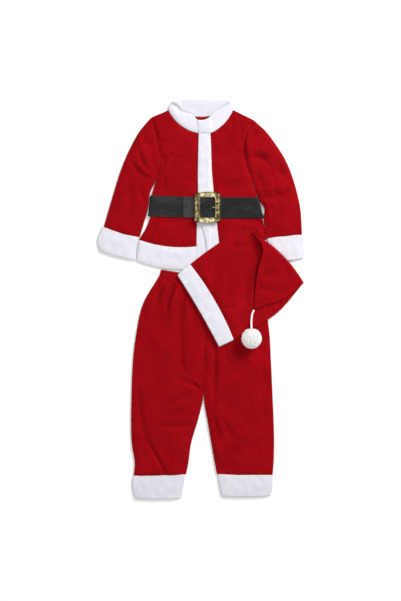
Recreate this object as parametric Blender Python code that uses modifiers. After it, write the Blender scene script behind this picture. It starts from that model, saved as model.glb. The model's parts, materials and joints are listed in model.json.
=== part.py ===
"""A child's santa suit laid flat: jacket with its belt, trousers and hat.

Lengths are in millimetres until a mesh is made. +X is the wearer's left, +Y the collar, +Z up.
Right and left are the wearer's, so "right" is the -X side. Every piece is cut from section
tables: a row runs across the cloth from its right end to its left end, and `sag` bows it.
"""

import math

import bmesh
import bpy
import numpy as np

MM = 0.001

FLEECE = 2.0  # wall of the red fleece
TRIM = 2.5  # wall of the white trim
STRAP = 2.2  # belt strap
GAP = 0.3  # seam and resting gap
PUFF = 2.0  # air between the front and the back of the jacket
EDGE = 14.0  # width of the rounded side edge of the jacket

BACK_TOP = FLEECE
FRONT_UNDER = BACK_TOP + GAP + PUFF
FRONT_TOP = FRONT_UNDER + FLEECE
TRIM_TOP = FRONT_UNDER + TRIM
OVER_TOP = TRIM_TOP + GAP + TRIM

BELT_WIDTH = 61.0
BELT_LOW, BELT_HIGH, BELT_FADE = 232.0, 302.0, 20.0
BELT_LIFT = STRAP + GAP
BELT_FRONT_MID = FRONT_TOP + BELT_LIFT + GAP + STRAP / 2
BELT_OVER_MID = OVER_TOP + BELT_LIFT + GAP + STRAP / 2
BELT_LAP = STRAP + GAP
HOLE_DIAMETER = 8.0

BUCKLE_X, BUCKLE_Y = 19.6, 264.6
BUCKLE_HALF_WIDTH, BUCKLE_HALF_HEIGHT = 37.7, 41.5
BUCKLE_BULGE, BUCKLE_DIP = 4.0, 0.7
WINDOW_HALF_WIDTH, WINDOW_HALF_HEIGHT = 21.0, 28.3
BUCKLE_UNDER = BELT_OVER_MID + BELT_LAP + STRAP / 2 + GAP
BUCKLE_THICK = 4.4
BAR_X, BAR_DIAMETER, BAR_REACH = 9.4, 2.4, 34.4

GATHERS, GATHER_HEIGHT = 20, 0.9

HAT_UNDER = OVER_TOP + GAP + 0.2
HAT_HEIGHT = 5.5
HAT_BAND_WALL = 3.0
FOLD_RADIUS = 4.5
FOLD_START = -(FOLD_RADIUS + HAT_HEIGHT / 2)
FOLD_BOW, FOLD_BOW_REACH = 14.0, 50.0
FOLD_TOP, FOLD_END = (148.6, 193.6), (298.0, 47.0)

CORD_DIAMETER = 5.4
POMPOM_CENTRE = (145.7, -112.4, 37.6)
POMPOM_CORE, POMPOM_RADIUS, POMPOM_LOCKS = 21.0, 30.0, 250


def table(columns, *rows):
    """Rows of a short table, one value for each named column."""
    names = columns.split()
    return [dict(zip(names, row)) for row in rows]


PANEL = "section right_x right_y left_x left_y sag right_bow left_bow open steps corner"

FRONT_RIGHT = table(
    PANEL,
    ("neck", -94, 547, -6.5, 480, 13, 0, 0, 0, 2, 1),
    ("shoulder", -144, 526, -5, 437, 6, -2, 0, 1, 6, 1),
    ("underarm", -115, 395, -6, 372, 3, 0, 0, 0, 2, 1),
    ("chest", -129, 346, -7, 337, 1, 0, 0, 0, 2, 0),
    ("waist", -141, 304, -8, 304, 0, 0, 0, 0, 2, 0),
    ("belt", -148, 231, -10.5, 231, 0, 0, 0, 0, 2, 0),
    ("skirt", -161, 201, -12, 190, 5, 0, 0, 0, 2, 0),
    ("hem_seam", -179, 172, -12.3, 153, 10, 0, 0, 0, 2, 1),
    ("hem", -187, 113, -12, 89, 12, 0, 0, 0, 0, 0),
)

FRONT_LEFT = table(
    PANEL,
    ("neck", 28, 480, 94, 548, 9, 0, 0, 0, 2, 1),
    ("shoulder", 30, 437, 154, 518, 5, 0, 25, 1, 6, 1),
    ("underarm", 32, 372, 151, 352, -2, 0, 0, 0, 2, 1),
    ("chest", 35, 337, 155, 328, 0, 0, 0, 0, 2, 0),
    ("waist", 38, 304, 160.5, 304, 0, 0, 0, 0, 2, 0),
    ("belt", 45, 231, 176, 231, 0, 0, 0, 0, 2, 0),
    ("skirt", 50, 190, 184.5, 203, 2, 0, 0, 0, 2, 0),
    ("hem_seam", 54, 151, 189, 172, 4, 0, 0, 0, 2, 1),
    ("hem", 61, 89, 195, 108, 3, 0, 0, 0, 0, 0),
)

BACK = table(
    PANEL,
    ("neck", -94, 547, 94, 548, 19, 0, 0, 0, 2, 1),
    ("shoulder", -144, 526, 154, 518, 8, -2, 25, 1, 6, 1),
    ("underarm", -115, 395, 151, 352, 0, 0, 0, 0, 2, 1),
    ("chest", -129, 346, 155, 328, 0, 0, 0, 0, 2, 0),
    ("waist", -141, 304, 160.5, 304, 0, 0, 0, 0, 2, 0),
    ("belt", -148, 231, 176, 231, 0, 0, 0, 0, 2, 0),
    ("skirt", -161, 201, 184.5, 203, 10, 0, 0, 0, 2, 0),
    ("hem_seam", -179, 172, 189, 172, 21, 0, 0, 0, 2, 1),
    ("hem", -187, 113, 195, 108, 22, 0, 0, 0, 0, 0),
)

# The free right edge of the over placket, down the front.
PLACKET_EDGE = table(
    "y x",
    (480, -6.5),
    (317, -8),
    (250, -5),
    (215, 3),
    (170, 14),
    (89, 18),
)
UNDER_PLACKET_LEFT = 24.0
PLACKET_STEP = 6.0  # where the over placket steps up onto the under one

TUBE = "section right_x right_y left_x left_y sag height crown steps corner"

SLEEVE_RIGHT = table(
    TUBE,
    ("armhole", -144, 526, -115, 395, -2, 6.3, 0, 2, 0),
    ("upper", -176, 488, -122.5, 371, 3, 6.8, 0.6, 2, 0),
    ("arm", -205, 436, -131.6, 345, 4, 7, 0.8, 2, 0),
    ("elbow", -234, 366, -147, 307, 3, 7, 0.8, 2, 0),
    ("forearm", -256, 295, -152, 268, 2, 7, 0.6, 2, 0),
    ("wrist", -281, 209, -177, 179, 3, 7, 0.4, 0, 0),
)

SLEEVE_CUFF_RIGHT = table(
    TUBE,
    ("seam", -284.5, 210.1, -178.2, 179.4, 3, 7.6, 0.4, 1, 0),
    ("middle", -299, 172, -188, 147, 1, 8, 0.8, 1, 0),
    ("end", -294, 142, -190.5, 113, 2, 7.6, 0.4, 0, 0),
)

SLEEVE_LEFT = table(
    TUBE,
    ("armhole", 152.6, 351.2, 154.6, 518, -25, 6.3, 0, 1, 0),
    ("upper", 158, 324, 187, 488, -2, 6.8, 0.6, 2, 0),
    ("arm", 164, 303, 217, 449, 0, 7, 0.8, 2, 0),
    ("elbow", 174.5, 283, 245, 404, 3, 7, 0.8, 2, 0),
    ("forearm", 184, 261, 268, 347, 2, 7, 0.8, 2, 0),
    ("lower", 183, 236, 286, 277, 2, 7, 0.6, 2, 0),
    ("wrist", 190.5, 175, 293.6, 186, -2, 7, 0.4, 0, 0),
)

SLEEVE_CUFF_LEFT = table(
    TUBE,
    ("seam", 192, 175.2, 296, 186.3, -2, 7.6, 0.4, 1, 0),
    ("middle", 195.5, 140, 299, 150, 0, 8, 0.8, 1, 0),
    ("end", 198.5, 110, 297.5, 118.5, 2, 7.6, 0.4, 0, 0),
)

# `crotch` ends the open centre seam: below it the leg is a closed tube.
LEG_RIGHT = table(
    TUBE,
    ("waist", -127, 57, 9.4, 47, 2.5, 7, 0, 2, 0),
    ("hip", -163, -4, 12, -10, 0, 7, 0.6, 2, 0),
    ("thigh", -187, -100, 15, -104, 0, 7, 0.8, 1, 0),
    ("seat", -194, -152, 16, -150, 0, 7, 0.8, 1, 0),
    ("crotch", -198.5, -211, 8, -211, 0, 7, 0.8, 1, 0),
    ("knee", -201, -292, 5.5, -292, 0, 7, 0.8, 1, 0),
    ("shin", -202, -350, -8, -350, 0, 7, 0.8, 1, 0),
    ("calf", -200, -417, -28, -417, 0, 7, 0.6, 1, 0),
    ("ankle", -191.5, -480, -37, -480, 0, 7, 0.4, 1, 0),
    ("cuff", -194.5, -511, -42.5, -507, 0, 7, 0.4, 0, 0),
)

LEG_LEFT = table(
    TUBE,
    ("waist", 9.4, 47, 144.4, 57, 2.5, 7, 0, 2, 0),
    ("hip", 12, -10, 179, -4, 0, 7, 0.6, 2, 0),
    ("thigh", 15, -104, 199, -100, 0, 7, 0.8, 1, 0),
    ("seat", 16, -150, 202, -152, 0, 7, 0.8, 1, 0),
    ("crotch", 8, -211, 205, -211, 0, 7, 0.8, 1, 0),
    ("knee", 9, -292, 208.5, -292, 0, 7, 0.8, 1, 0),
    ("shin", 19, -350, 211, -350, 0, 7, 0.8, 1, 0),
    ("calf", 30.5, -417, 212.5, -417, 0, 7, 0.6, 1, 0),
    ("ankle", 41.5, -480, 210.5, -480, 0, 7, 0.4, 1, 0),
    ("cuff", 47, -507, 208, -509, 0, 7, 0.4, 0, 0),
)

LEG_CUFF_RIGHT = table(
    TUBE,
    ("seam", -196, -511.1, -46, -507.1, 0, 7.6, 0.4, 1, 0),
    ("middle", -198, -541, -51, -541, 1, 8, 0.8, 1, 0),
    ("end", -191, -576, -57, -575, 2, 7.6, 0.4, 0, 0),
)

LEG_CUFF_LEFT = table(
    TUBE,
    ("seam", 49, -507, 207, -509, 0, 7.6, 0.4, 1, 0),
    ("middle", 54.5, -540, 207, -540, 1, 8, 0.8, 1, 0),
    ("end", 60, -569, 202.5, -568, 2, 7.6, 0.4, 0, 0),
)

WAISTBAND = table(
    TUBE,
    ("top", -115, 86, 131, 85, 12.5, 7, 0, 1, 0),
    ("middle", -119, 71, 136, 71, 11, 7, 0, 1, 0),
    ("seam", -127, 57, 144.4, 57, 10, 7, 0, 0, 0),
)

HAT_BAND = table(
    TUBE,
    ("rim", -67, 70, 53, -137, -3, 7.2, 0.4, 1, 0),
    ("middle", -50, 87, 74, -128, -6, 8, 0.6, 1, 0),
    ("seam", -31, 101, 95, -117, -9, 7.2, 0.4, 0, 0),
)

# The hat body is laid out flat here. What lies past the fold line is turned back over it.
# `settle` lets the turned layer down, `rise` holds up its free right edge.
HAT_BODY = table(
    TUBE + " settle rise",
    ("seam", -31, 101, 95, -117, -9, 5.5, 0, 2, 0, 0, 0),
    ("side", 27, 145, 169, -75, -6, 5.5, 0.6, 2, 0, 0, 0),
    ("crown", 85, 181, 232, -29, -4, 5.5, 0.6, 2, 0, 0, 0),
    ("fold_start", 139, 193, 292.5, 42, 0, 5.5, 0, 3, 1, 0, 0),
    ("fold_crest", 148.6, 193.6, 298, 47, 0, 5.5, 0, 3, 1, 0, 1),
    ("fold_end", 167.3, 184.9, 302.3, 52.4, 0, 5.5, 0, 1, 1, 0, 3),
    ("turned", 200, 172, 322, 78, 0, 5.5, 0, 1, 0, 1.8, 7),
    ("middle", 258, 181.5, 343, 106, 0, 5.5, 0.6, 1, 0, 2.6, 6),
    ("lower", 302, 187, 353, 132, 0, 5.5, 0.6, 1, 0, 2.6, 3),
    ("point", 344, 191.5, 361.5, 163, 0, 5.5, 0, 1, 0, 2.6, 1),
    ("tip", 364, 192.3, 370, 183, 0, 5.5, 0, 0, 0, 2.6, 0),
)

# The free edge of the collar, from its right front end (at 0) over the right neck point (1),
# the back and the left neck point (2) to its left front end (3).
COLLAR = table(
    "at edge_x edge_y",
    (0.00, 20, 517),
    (0.25, -8, 517.5),
    (0.45, -28, 527),
    (0.70, -54, 541),
    (0.90, -66, 562),
    (1.00, -81.5, 570),
    (1.06, -73, 575.5),
    (1.14, -64, 576.5),
    (1.50, 0, 577),
    (1.86, 64, 576.5),
    (1.94, 74, 575.5),
    (2.00, 82.5, 570.5),
    (2.12, 68, 562),
    (2.35, 50, 543),
    (2.60, 34, 527),
    (2.70, 26, 522),
    (2.85, 10, 517.5),
    (3.00, -6.5, 517),
)
COLLAR_NECK = ((-93, 548.8), (93.5, 549.8))  # where the collar folds over, at its seam
COLLAR_FRONT_MID = FRONT_UNDER + TRIM / 2
COLLAR_BACK_MID = TRIM / 2
COLLAR_LAP = TRIM + GAP
COLLAR_LAP_FROM = 2.65  # from here on the left end lies over the right one

# Height of the strap's middle over the front, from left to right: the lower lap, the upper lap.
STRAP_RISE = table(
    "x lower upper",
    (-150, BELT_FRONT_MID, BELT_FRONT_MID + BELT_LAP),
    (-40, BELT_FRONT_MID, BELT_FRONT_MID + BELT_LAP),
    (-12, BELT_OVER_MID, BELT_OVER_MID + BELT_LAP),
    (34, BELT_OVER_MID, BELT_OVER_MID + BELT_LAP),
    (64, BELT_FRONT_MID, BELT_FRONT_MID),
    (180, BELT_FRONT_MID, BELT_FRONT_MID),
)
STRAP_CENTRE = table("x y", (-150, 270), (-50, 266.5), (20, 264.6), (180, 264.6))
STRAP_FIXED_END = BAR_X - BAR_DIAMETER / 2 - GAP
STRAP_TAIL_END = -51.5
HOLES = (-43.0, -6.3, 30.4)

# Broad folds of the cloth, each a soft ridge (or trough, below zero) between two points.
FOLDS = table(
    "piece x1 y1 x2 y2 height width",
    ("sleeve_right", -172, 420, -140, 355, -1.3, 12),
    ("sleeve_right", -232, 345, -165, 310, 1.0, 16),
    ("sleeve_left", 190, 440, 235, 345, 1.0, 16),
    ("front_right", -128, 222, -146, 170, 1.2, 12),
    ("front_left", 140, 222, 158, 175, 1.2, 12),
    ("leg_right", -64, 45, -95, -40, -1.2, 14),
    ("leg_right", -120, -340, -60, -300, 1.0, 20),
    ("leg_left", 150, -420, 110, -500, 1.0, 18),
)

PRONG = table(
    "x z",
    (11.2, 13.6),
    (26.8, 13.4),
    (29.4, 14.7),
    (31.6, 17.6),
    (34.5, 21),
    (37.5, 22.8),
    (41, 23.3),
    (50.5, 23.2),
)
PRONG_WIDTH, PRONG_THICK = 4.0, 2.0

CORD_ROUTE = table(
    "x y z",
    (153.6, -31.0, 19.4),
    (150.4, -37.0, 19.2),
    (147.6, -47.0, 19.1),
    (146.1, -58.0, 20.2),
    (145.6, -68.0, 23.6),
    (145.7, -77.0, 28.8),
    (145.7, -84.5, 33.1),
    (145.7, -90.4, 36.2),
)

RED = ("red_fleece", (0.42, 0.006, 0.014, 1), 0.9, 0.0)
WHITE = ("white_fleece", (0.85, 0.84, 0.88, 1), 0.92, 0.0)
YARN = ("white_yarn", (0.86, 0.85, 0.87, 1), 0.92, 0.0)
BLACK = ("black_strap", (0.018, 0.019, 0.021, 1), 0.45, 0.0)
GOLD = ("gold_buckle", (0.62, 0.45, 0.16, 1), 0.35, 1.0)


def smoothstep(x):
    x = min(max(x, 0.0), 1.0)
    return x * x * (3 - 2 * x)


def hermite(keys, values, t):
    """A smooth curve through values at keys, read at t."""
    keys, values = np.asarray(keys, float), np.asarray(values, float)
    slopes = np.gradient(values, keys, axis=0)
    i = int(np.clip(np.searchsorted(keys, t, side="right") - 1, 0, len(keys) - 2))
    span = keys[i + 1] - keys[i]
    s = (t - keys[i]) / span
    a, b = (1 + 2 * s) * (1 - s) ** 2, s * (1 - s) ** 2 * span
    c, d = s * s * (3 - 2 * s), s * s * (s - 1) * span
    return a * values[i] + b * slopes[i] + c * values[i + 1] + d * slopes[i + 1]


def read(rows, key, column, at):
    """One column of a table, read smoothly at a value of its key column."""
    order = sorted(rows, key=lambda row: row[key])
    keys = [row[key] for row in order]
    at = min(max(at, keys[0]), keys[-1])
    return float(hermite(keys, [row[column] for row in order], at))


def read_straight(rows, key, column, at):
    return float(np.interp(at, [row[key] for row in rows], [row[column] for row in rows]))


def bowed(a, b, bow, fractions):
    """Points from a to b, bowed to the right-hand side of that direction."""
    a, b = np.asarray(a, float), np.asarray(b, float)
    way = (b - a) / np.linalg.norm(b - a)
    side = np.array([way[1], -way[0]])
    return np.array([a + (b - a) * t + side * bow * 4 * t * (1 - t) for t in fractions])


def sections(rows):
    """Every mesh row of a table: its own rows, and the even steps between them."""
    numbers = [name for name in rows[0] if name != "section"]
    values = np.array([[row[name] for name in numbers] for row in rows], float)
    middle = np.array([[row["right_x"] + row["left_x"], row["right_y"] + row["left_y"]] for row in rows])
    keys = np.concatenate([[0], np.cumsum(np.linalg.norm(np.diff(middle / 2, axis=0), axis=1))])
    corners = [0] + [i for i in range(1, len(rows) - 1) if rows[i]["corner"]] + [len(rows) - 1]
    made = []
    for first, last in zip(corners, corners[1:]):
        run = slice(first, last + 1)
        for i in range(first, last):
            for k in range(rows[i]["steps"]):
                share = k / rows[i]["steps"]
                at = keys[i] + (keys[i + 1] - keys[i]) * share
                row = dict(zip(numbers, hermite(keys[run], values[run], at)))
                row["section"] = rows[i]["section"] if k == 0 else ""
                if "right_bow" in row:
                    bow_armhole(row, rows[i], rows[i + 1], share)
                made.append(row)
    made.append(dict(rows[-1]))
    return made


def bow_armhole(row, start, end, share):
    """Bows the ends of a panel's row along an armhole, and opens the side edge there."""
    for side in ("right", "left"):
        bow = start[side + "_bow"]
        if bow:
            a = (start[side + "_x"], start[side + "_y"])
            b = (end[side + "_x"], end[side + "_y"])
            row[side + "_x"], row[side + "_y"] = bowed(a, b, bow, [share])[0]
    row["open"] = start["open"] if share > 0 else 0


def ends(row):
    return (row["right_x"], row["right_y"]), (row["left_x"], row["left_y"])


def relief(piece, x, y):
    """Height that the broad folds add at a point of a piece."""
    total = 0.0
    for fold in FOLDS:
        if fold["piece"] != piece:
            continue
        a = np.array([fold["x1"], fold["y1"]], float)
        way = np.array([fold["x2"], fold["y2"]]) - a
        length = np.linalg.norm(way)
        offset = np.array([x, y]) - a
        along = float(offset @ way) / length**2
        across = abs(float(offset[0] * way[1] - offset[1] * way[0])) / length
        fade = smoothstep((along + 0.15) / 0.3) * smoothstep((1.15 - along) / 0.3)
        total += fold["height"] * fade * math.exp(-((across / fold["width"]) ** 2))
    return total


def belt_lift(y):
    """How far the strap under the back holds the jacket up."""
    outside = max(BELT_LOW - y, y - BELT_HIGH, 0)
    return BELT_LIFT * (1 - smoothstep(outside / BELT_FADE))


def round_edge(distance):
    s = 1 - min(distance / EDGE, 1)
    return math.sqrt(1 - s * s)


def draw_in(grid, first=0.0, last=0.0, right=0.0, left=0.0):
    """Pulls the edges of a grid of points in, level, by these amounts."""
    grid = grid.copy()
    for edge, inner, amount in (
        (grid[0], grid[1], first),
        (grid[-1], grid[-2], last),
        (grid[:, 0], grid[:, 1], right),
        (grid[:, -1], grid[:, -2], left),
    ):
        way = (inner - edge) * (1, 1, 0)
        edge += amount * way / np.maximum(np.linalg.norm(way, axis=-1, keepdims=True), 1e-6)
    return grid


def add_material(obj, look):
    name, colour, roughness, metallic = look
    material = bpy.data.materials.get(name) or bpy.data.materials.new(name)
    material.use_nodes = True
    shader = material.node_tree.nodes["Principled BSDF"]
    shader.inputs["Base Color"].default_value = colour
    shader.inputs["Roughness"].default_value = roughness
    shader.inputs["Metallic"].default_value = metallic
    material.diffuse_color = colour
    obj.data.materials.append(material)


def add_object(name, data, look, collection="santa_suit"):
    obj = bpy.data.objects.new(name, data)
    bpy.data.collections[collection].objects.link(obj)
    if look:
        add_material(obj, look)
    return obj


def mesh_of(name, points, faces):
    mesh = bpy.data.meshes.new(name)
    mesh.from_pydata((np.asarray(points).reshape(-1, 3) * MM).tolist(), [], faces)
    mesh.shade_smooth()
    return mesh


def add_shell(name, grid, wall, look, offset=-1):
    """An open sheet with a wall along its normals. With offset -1 its outer face is the grid."""
    count, width = grid.shape[:2]
    faces = []
    for i in range(count - 1):
        for j in range(width - 1):
            low = i * width + j
            faces.append((low, low + width, low + width + 1, low + 1))
    obj = add_object(name, mesh_of(name, grid, faces), look)
    solid = obj.modifiers.new("wall", "SOLIDIFY")
    solid.thickness = wall * MM
    solid.offset = offset
    return obj


def add_walled(name, outer, inner, look, closed_from=None):
    """A cloth piece between an outer and an inner grid of points, joined along their borders.

    From the row `closed_from` on, the last column is joined to the first, as on a tube."""
    count, width = outer.shape[:2]
    open_rows = count - 1 if closed_from is None else closed_from
    faces = []

    def corner(i, j, side):
        return (side * count + i) * width + j % width

    def add_face(a, b, c, d):
        faces.append((corner(*a), corner(*b), corner(*c), corner(*d)))

    for i in range(count - 1):
        for j in range(width - 1 if i < open_rows else width):
            add_face((i, j, 0), (i + 1, j, 0), (i + 1, j + 1, 0), (i, j + 1, 0))
            add_face((i, j + 1, 1), (i + 1, j + 1, 1), (i + 1, j, 1), (i, j, 1))
    end = count - 1
    for j in range(width - 1 if open_rows else width):
        add_face((0, j, 0), (0, j + 1, 0), (0, j + 1, 1), (0, j, 1))
    for j in range(width - 1 if open_rows == end else width):
        add_face((end, j + 1, 0), (end, j, 0), (end, j, 1), (end, j + 1, 1))
    for i in range(open_rows):
        add_face((i + 1, 0, 0), (i, 0, 0), (i, 0, 1), (i + 1, 0, 1))
        add_face((i, width - 1, 0), (i + 1, width - 1, 0), (i + 1, width - 1, 1), (i, width - 1, 1))
    if 0 < open_rows < end:
        i = open_rows
        add_face((i, width - 1, 0), (i, 0, 0), (i, 0, 1), (i, width - 1, 1))
    return add_object(name, mesh_of(name, [outer, inner], faces), look)


def add_flat(name, top, wall, look):
    """A sheet whose wall hangs straight down from the grid."""
    return add_walled(name, top, top - (0, 0, wall), look)


FRONT_ACROSS = (0, 0.05, 0.12, 0.28, 0.46, 0.64, 0.82, 1)
BACK_ACROSS = tuple(k / 12 for k in range(13))


def front_grid(rows, fractions, side, piece, wall):
    """Top surface of a front. Its side edge comes down to the back, except at the armhole."""
    grid = []
    for row in rows:
        points = bowed(*ends(row), row["sag"], fractions)
        edge = points[0] if side == "right" else points[-1]
        line = []
        for x, y in points:
            distance = math.hypot(x - edge[0], y - edge[1])
            puff = PUFF * max(row.get("open", 0), round_edge(distance))
            z = BACK_TOP + GAP + puff + wall + belt_lift(y) + relief(piece, x, y)
            line.append((x, y, z))
        grid.append(line)
    return np.array(grid)


def split(rows, section):
    """Mesh rows above and below a named section, which both parts keep."""
    i = next(i for i, row in enumerate(rows) if row["section"] == section)
    return rows[: i + 1], rows[i:]


def make_fronts():
    """Both fronts with their hem bands. Returns the grids whose edges the trim shares."""
    shared = {}
    for side, rows in (("right", FRONT_RIGHT), ("left", FRONT_LEFT)):
        across = FRONT_ACROSS if side == "right" else tuple(1 - t for t in reversed(FRONT_ACROSS))
        body, hem = split(sections(rows), "hem_seam")
        half = GAP / 2 + 0.05
        inner = {"left": half} if side == "right" else {"right": half}
        for name, part, wall, look in (
            ("jacket_front_", body, FLEECE, RED),
            ("hem_front_", hem, TRIM, WHITE),
        ):
            grid = front_grid(part, across, side, "front_" + side, wall)
            shared[name + side] = grid
            last = half if name == "jacket_front_" else 0
            side_gap = dict(inner)
            side_gap[side] = half if name == "jacket_front_" else 0
            add_shell(name + side, draw_in(grid, first=half, last=last, **side_gap), wall, look)
    return shared


def make_back():
    """The back and its hem band, flat on the floor. Both are as thick as the red fleece."""
    body, hem = split(sections(BACK), "hem_seam")
    shared = None
    for name, part, look in (("jacket_back", body, RED), ("hem_back", hem, WHITE)):
        grid = []
        for row in part:
            points = bowed(*ends(row), row["sag"], BACK_ACROSS)
            grid.append([(x, y, belt_lift(y)) for x, y in points])
        grid = np.array(grid)
        shared = grid if shared is None else shared
        edge = GAP / 2 + 0.05
        last = edge if name == "jacket_back" else 0
        inset = draw_in(grid, first=edge, last=last, right=last, left=last)
        add_shell(name, inset, FLEECE, look, offset=1)
    return shared


def make_plackets(shared):
    """Two bands down the front edges. The over placket steps up onto the under one."""
    half = GAP / 2 + 0.05
    seam = np.concatenate([shared["jacket_front_right"][:, -1], shared["hem_front_right"][1:, -1]])
    grid = []
    for x, y, _ in seam:
        line = [x + (UNDER_PLACKET_LEFT - x) * t for t in (0, 0.35, 0.7, 1)]
        grid.append([(px, y, TRIM_TOP + belt_lift(y)) for px in line])
    add_flat("placket_under", draw_in(np.array(grid), first=half, right=half), TRIM, WHITE)

    seam = np.concatenate([shared["jacket_front_left"][:, 0], shared["hem_front_left"][1:, 0]])
    grid = []
    for x, y, _ in seam:
        edge = read(PLACKET_EDGE, "y", "x", y)
        top = UNDER_PLACKET_LEFT + 0.8
        foot = top + min(PLACKET_STEP, (x - top) / 2)
        low, high = TRIM_TOP + belt_lift(y), OVER_TOP + belt_lift(y)
        line = ((edge, high), ((edge + top) / 2, high), (top, high), (foot, low), (x, low))
        grid.append([(px, y, z) for px, z in line])
    add_flat("placket_over", draw_in(np.array(grid), first=half, left=half), TRIM, WHITE)


def collar_stations(shared, back):
    """(at, seam x, seam y) along the neck seam, from the right front end to the left one."""
    right, left = shared["jacket_front_right"][0], shared["jacket_front_left"][0]
    lap_right, lap_left = right[-1], left[0]
    end_right = (UNDER_PLACKET_LEFT - 3, lap_right[1])
    stations = [(0.0, *end_right), (0.12, (end_right[0] + lap_right[0]) / 2, lap_right[1])]
    count = len(right) - 1
    for k, point in enumerate(right[:1:-1]):
        stations.append((0.25 + 0.75 * k / count, point[0], point[1]))
    stations.append((1.0, *COLLAR_NECK[0]))
    for k, point in enumerate(back[0][2:-2], 2):
        stations.append((1 + k / (len(back[0]) - 1), point[0], point[1]))
    stations.append((2.0, *COLLAR_NECK[1]))
    for k, point in enumerate(left[-3::-1], 2):
        stations.append((2 + 0.7 * k / count, point[0], point[1]))
    stations.append((2.85, (lap_left[0] + lap_right[0]) / 2 - 4, lap_left[1]))
    stations.append((3.0, lap_right[0], lap_left[1]))
    return stations


def make_collar(shared, back):
    """A stand collar laid down: one band round the neck, folded at both neck points.

    Its outer wall is on top in front, goes round the folds and lies on the floor behind."""
    half = GAP / 2 + 0.35
    middle = (COLLAR_FRONT_MID + COLLAR_BACK_MID) / 2
    turn = (COLLAR_FRONT_MID - COLLAR_BACK_MID) / 2
    turn_steps = 4
    across = (0, 0.5, 1)
    outer, inner = [], []
    for at, x, y in collar_stations(shared, back):
        edge = np.array([read(COLLAR, "at", "edge_x", at), read(COLLAR, "at", "edge_y", at)])
        seam = np.array([x, y])
        way = (edge - seam) / np.linalg.norm(edge - seam)
        line = [seam + half * way + (edge - seam - half * way) * t for t in across]
        if at in (1.0, 2.0):
            side = -1 if at == 1.0 else 1
            out = np.array([way[1], -way[0]]) * side
            for k in range(turn_steps + 1):
                angle = math.pi * (k / turn_steps if at == 1.0 else 1 - k / turn_steps)
                for wall, radius in ((outer, turn + TRIM / 2), (inner, turn - TRIM / 2)):
                    spots = [point + out * radius * math.sin(angle) for point in line]
                    wall.append([(*spot, middle + radius * math.cos(angle)) for spot in spots])
        elif 1 < at < 2:
            outer.append([(*point, 0.0) for point in line])
            inner.append([(*point, TRIM) for point in line])
        else:
            z = COLLAR_FRONT_MID + (COLLAR_LAP if at > COLLAR_LAP_FROM else 0)
            outer.append([(*point, z + TRIM / 2) for point in line])
            inner.append([(*point, z - TRIM / 2) for point in line])
    add_walled("collar", np.array(outer)[::-1], np.array(inner)[::-1], WHITE)


def ring(row, fractions, inset, base=0.0, extra=None):
    """Points round a flattened tube: over the top from right to left, and back underneath.

    They lie this far inside its outer face."""
    path = bowed(*ends(row), row["sag"], fractions)
    height = row["height"]
    radius = height / 2
    points = []

    def rim(end, toward, start):
        way = (toward - end) / np.linalg.norm(toward - end)
        for k in range(1, RIM_POINTS + 1):
            angle = start + math.pi * k / (RIM_POINTS + 1)
            spot = end + way * (radius - (radius - inset) * abs(math.sin(angle)))
            points.append((*spot, base + radius + (radius - inset) * math.cos(angle)))

    for t, (x, y) in list(zip(fractions, path))[1:-1]:
        crown = row["crown"] * 4 * t * (1 - t)
        points.append((x, y, base + height - inset + crown + (extra(x, y, t) if extra else 0)))
    rim(path[-1], path[-2], 0)
    for x, y in path[-2:0:-1]:
        points.append((x, y, base + inset))
    rim(path[0], np.array(row.get("rim_toward", path[1])), math.pi)
    return points


TUBE_ACROSS = (0, 0.06, 0.2, 0.4, 0.6, 0.8, 0.94, 1)
SLEEVE_ACROSS = tuple(k / 6 for k in range(7))
RIM_POINTS = 2


def add_tube(name, rows, fractions, wall, look, extra=None, base=0.0, turn=0, closed_from=0, **gaps):
    """A tube of cloth through its sections. `turn` is the column that the grid starts from."""
    walls = []
    for inset in (0.0, wall):
        grid = np.array([ring(row, fractions, inset, base, extra) for row in rows])
        walls.append(draw_in(np.roll(grid, -turn, axis=1), **gaps))
    return add_walled(name, *walls, look, closed_from=closed_from)


def folds_of(piece):
    return lambda x, y, t: relief(piece, x, y)


def make_sleeves():
    half = GAP / 2 + 0.1
    for side, rows, cuff in (
        ("right", SLEEVE_RIGHT, SLEEVE_CUFF_RIGHT),
        ("left", SLEEVE_LEFT, SLEEVE_CUFF_LEFT),
    ):
        name = "sleeve_" + side
        made = sections(rows)
        if side == "left":
            # At this underarm the armhole runs on in line with the sleeve's edge.
            for row in made[:2]:
                row["rim_toward"] = (row["right_x"] + EDGE, row["right_y"] + 2)
        add_tube(name, made, SLEEVE_ACROSS, FLEECE, RED, folds_of(name), first=half, last=half)
        name = "sleeve_cuff_" + side
        add_tube(name, sections(cuff), SLEEVE_ACROSS, TRIM, WHITE, first=half)


def make_legs():
    """Each leg is one cut of cloth: open at the centre seam, a closed tube below the crotch."""
    half = GAP / 2 + 0.1
    top = len(TUBE_ACROSS) - 2
    for side, rows, cuff, seam_column in (
        ("right", LEG_RIGHT, LEG_CUFF_RIGHT, top + 1),
        ("left", LEG_LEFT, LEG_CUFF_LEFT, -1),
    ):
        made = sections(rows)
        crotch = next(i for i, row in enumerate(made) if row["section"] == "crotch")
        add_tube(
            "trouser_leg_" + side,
            made,
            TUBE_ACROSS,
            FLEECE,
            RED,
            folds_of("leg_" + side),
            turn=seam_column,
            closed_from=crotch,
            first=half,
            last=half,
        )
        add_tube("leg_cuff_" + side, sections(cuff), TUBE_ACROSS, TRIM, WHITE, first=half)


def make_waistband():
    per_gather = 3
    count = GATHERS * per_gather
    fractions = tuple(k / count for k in range(count + 1))

    def gather(x, y, t):
        return GATHER_HEIGHT * math.sin(math.pi * t * GATHERS) ** 2

    add_tube("waistband", sections(WAISTBAND), fractions, FLEECE, RED, gather, last=GAP / 2 + 0.1)


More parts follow.
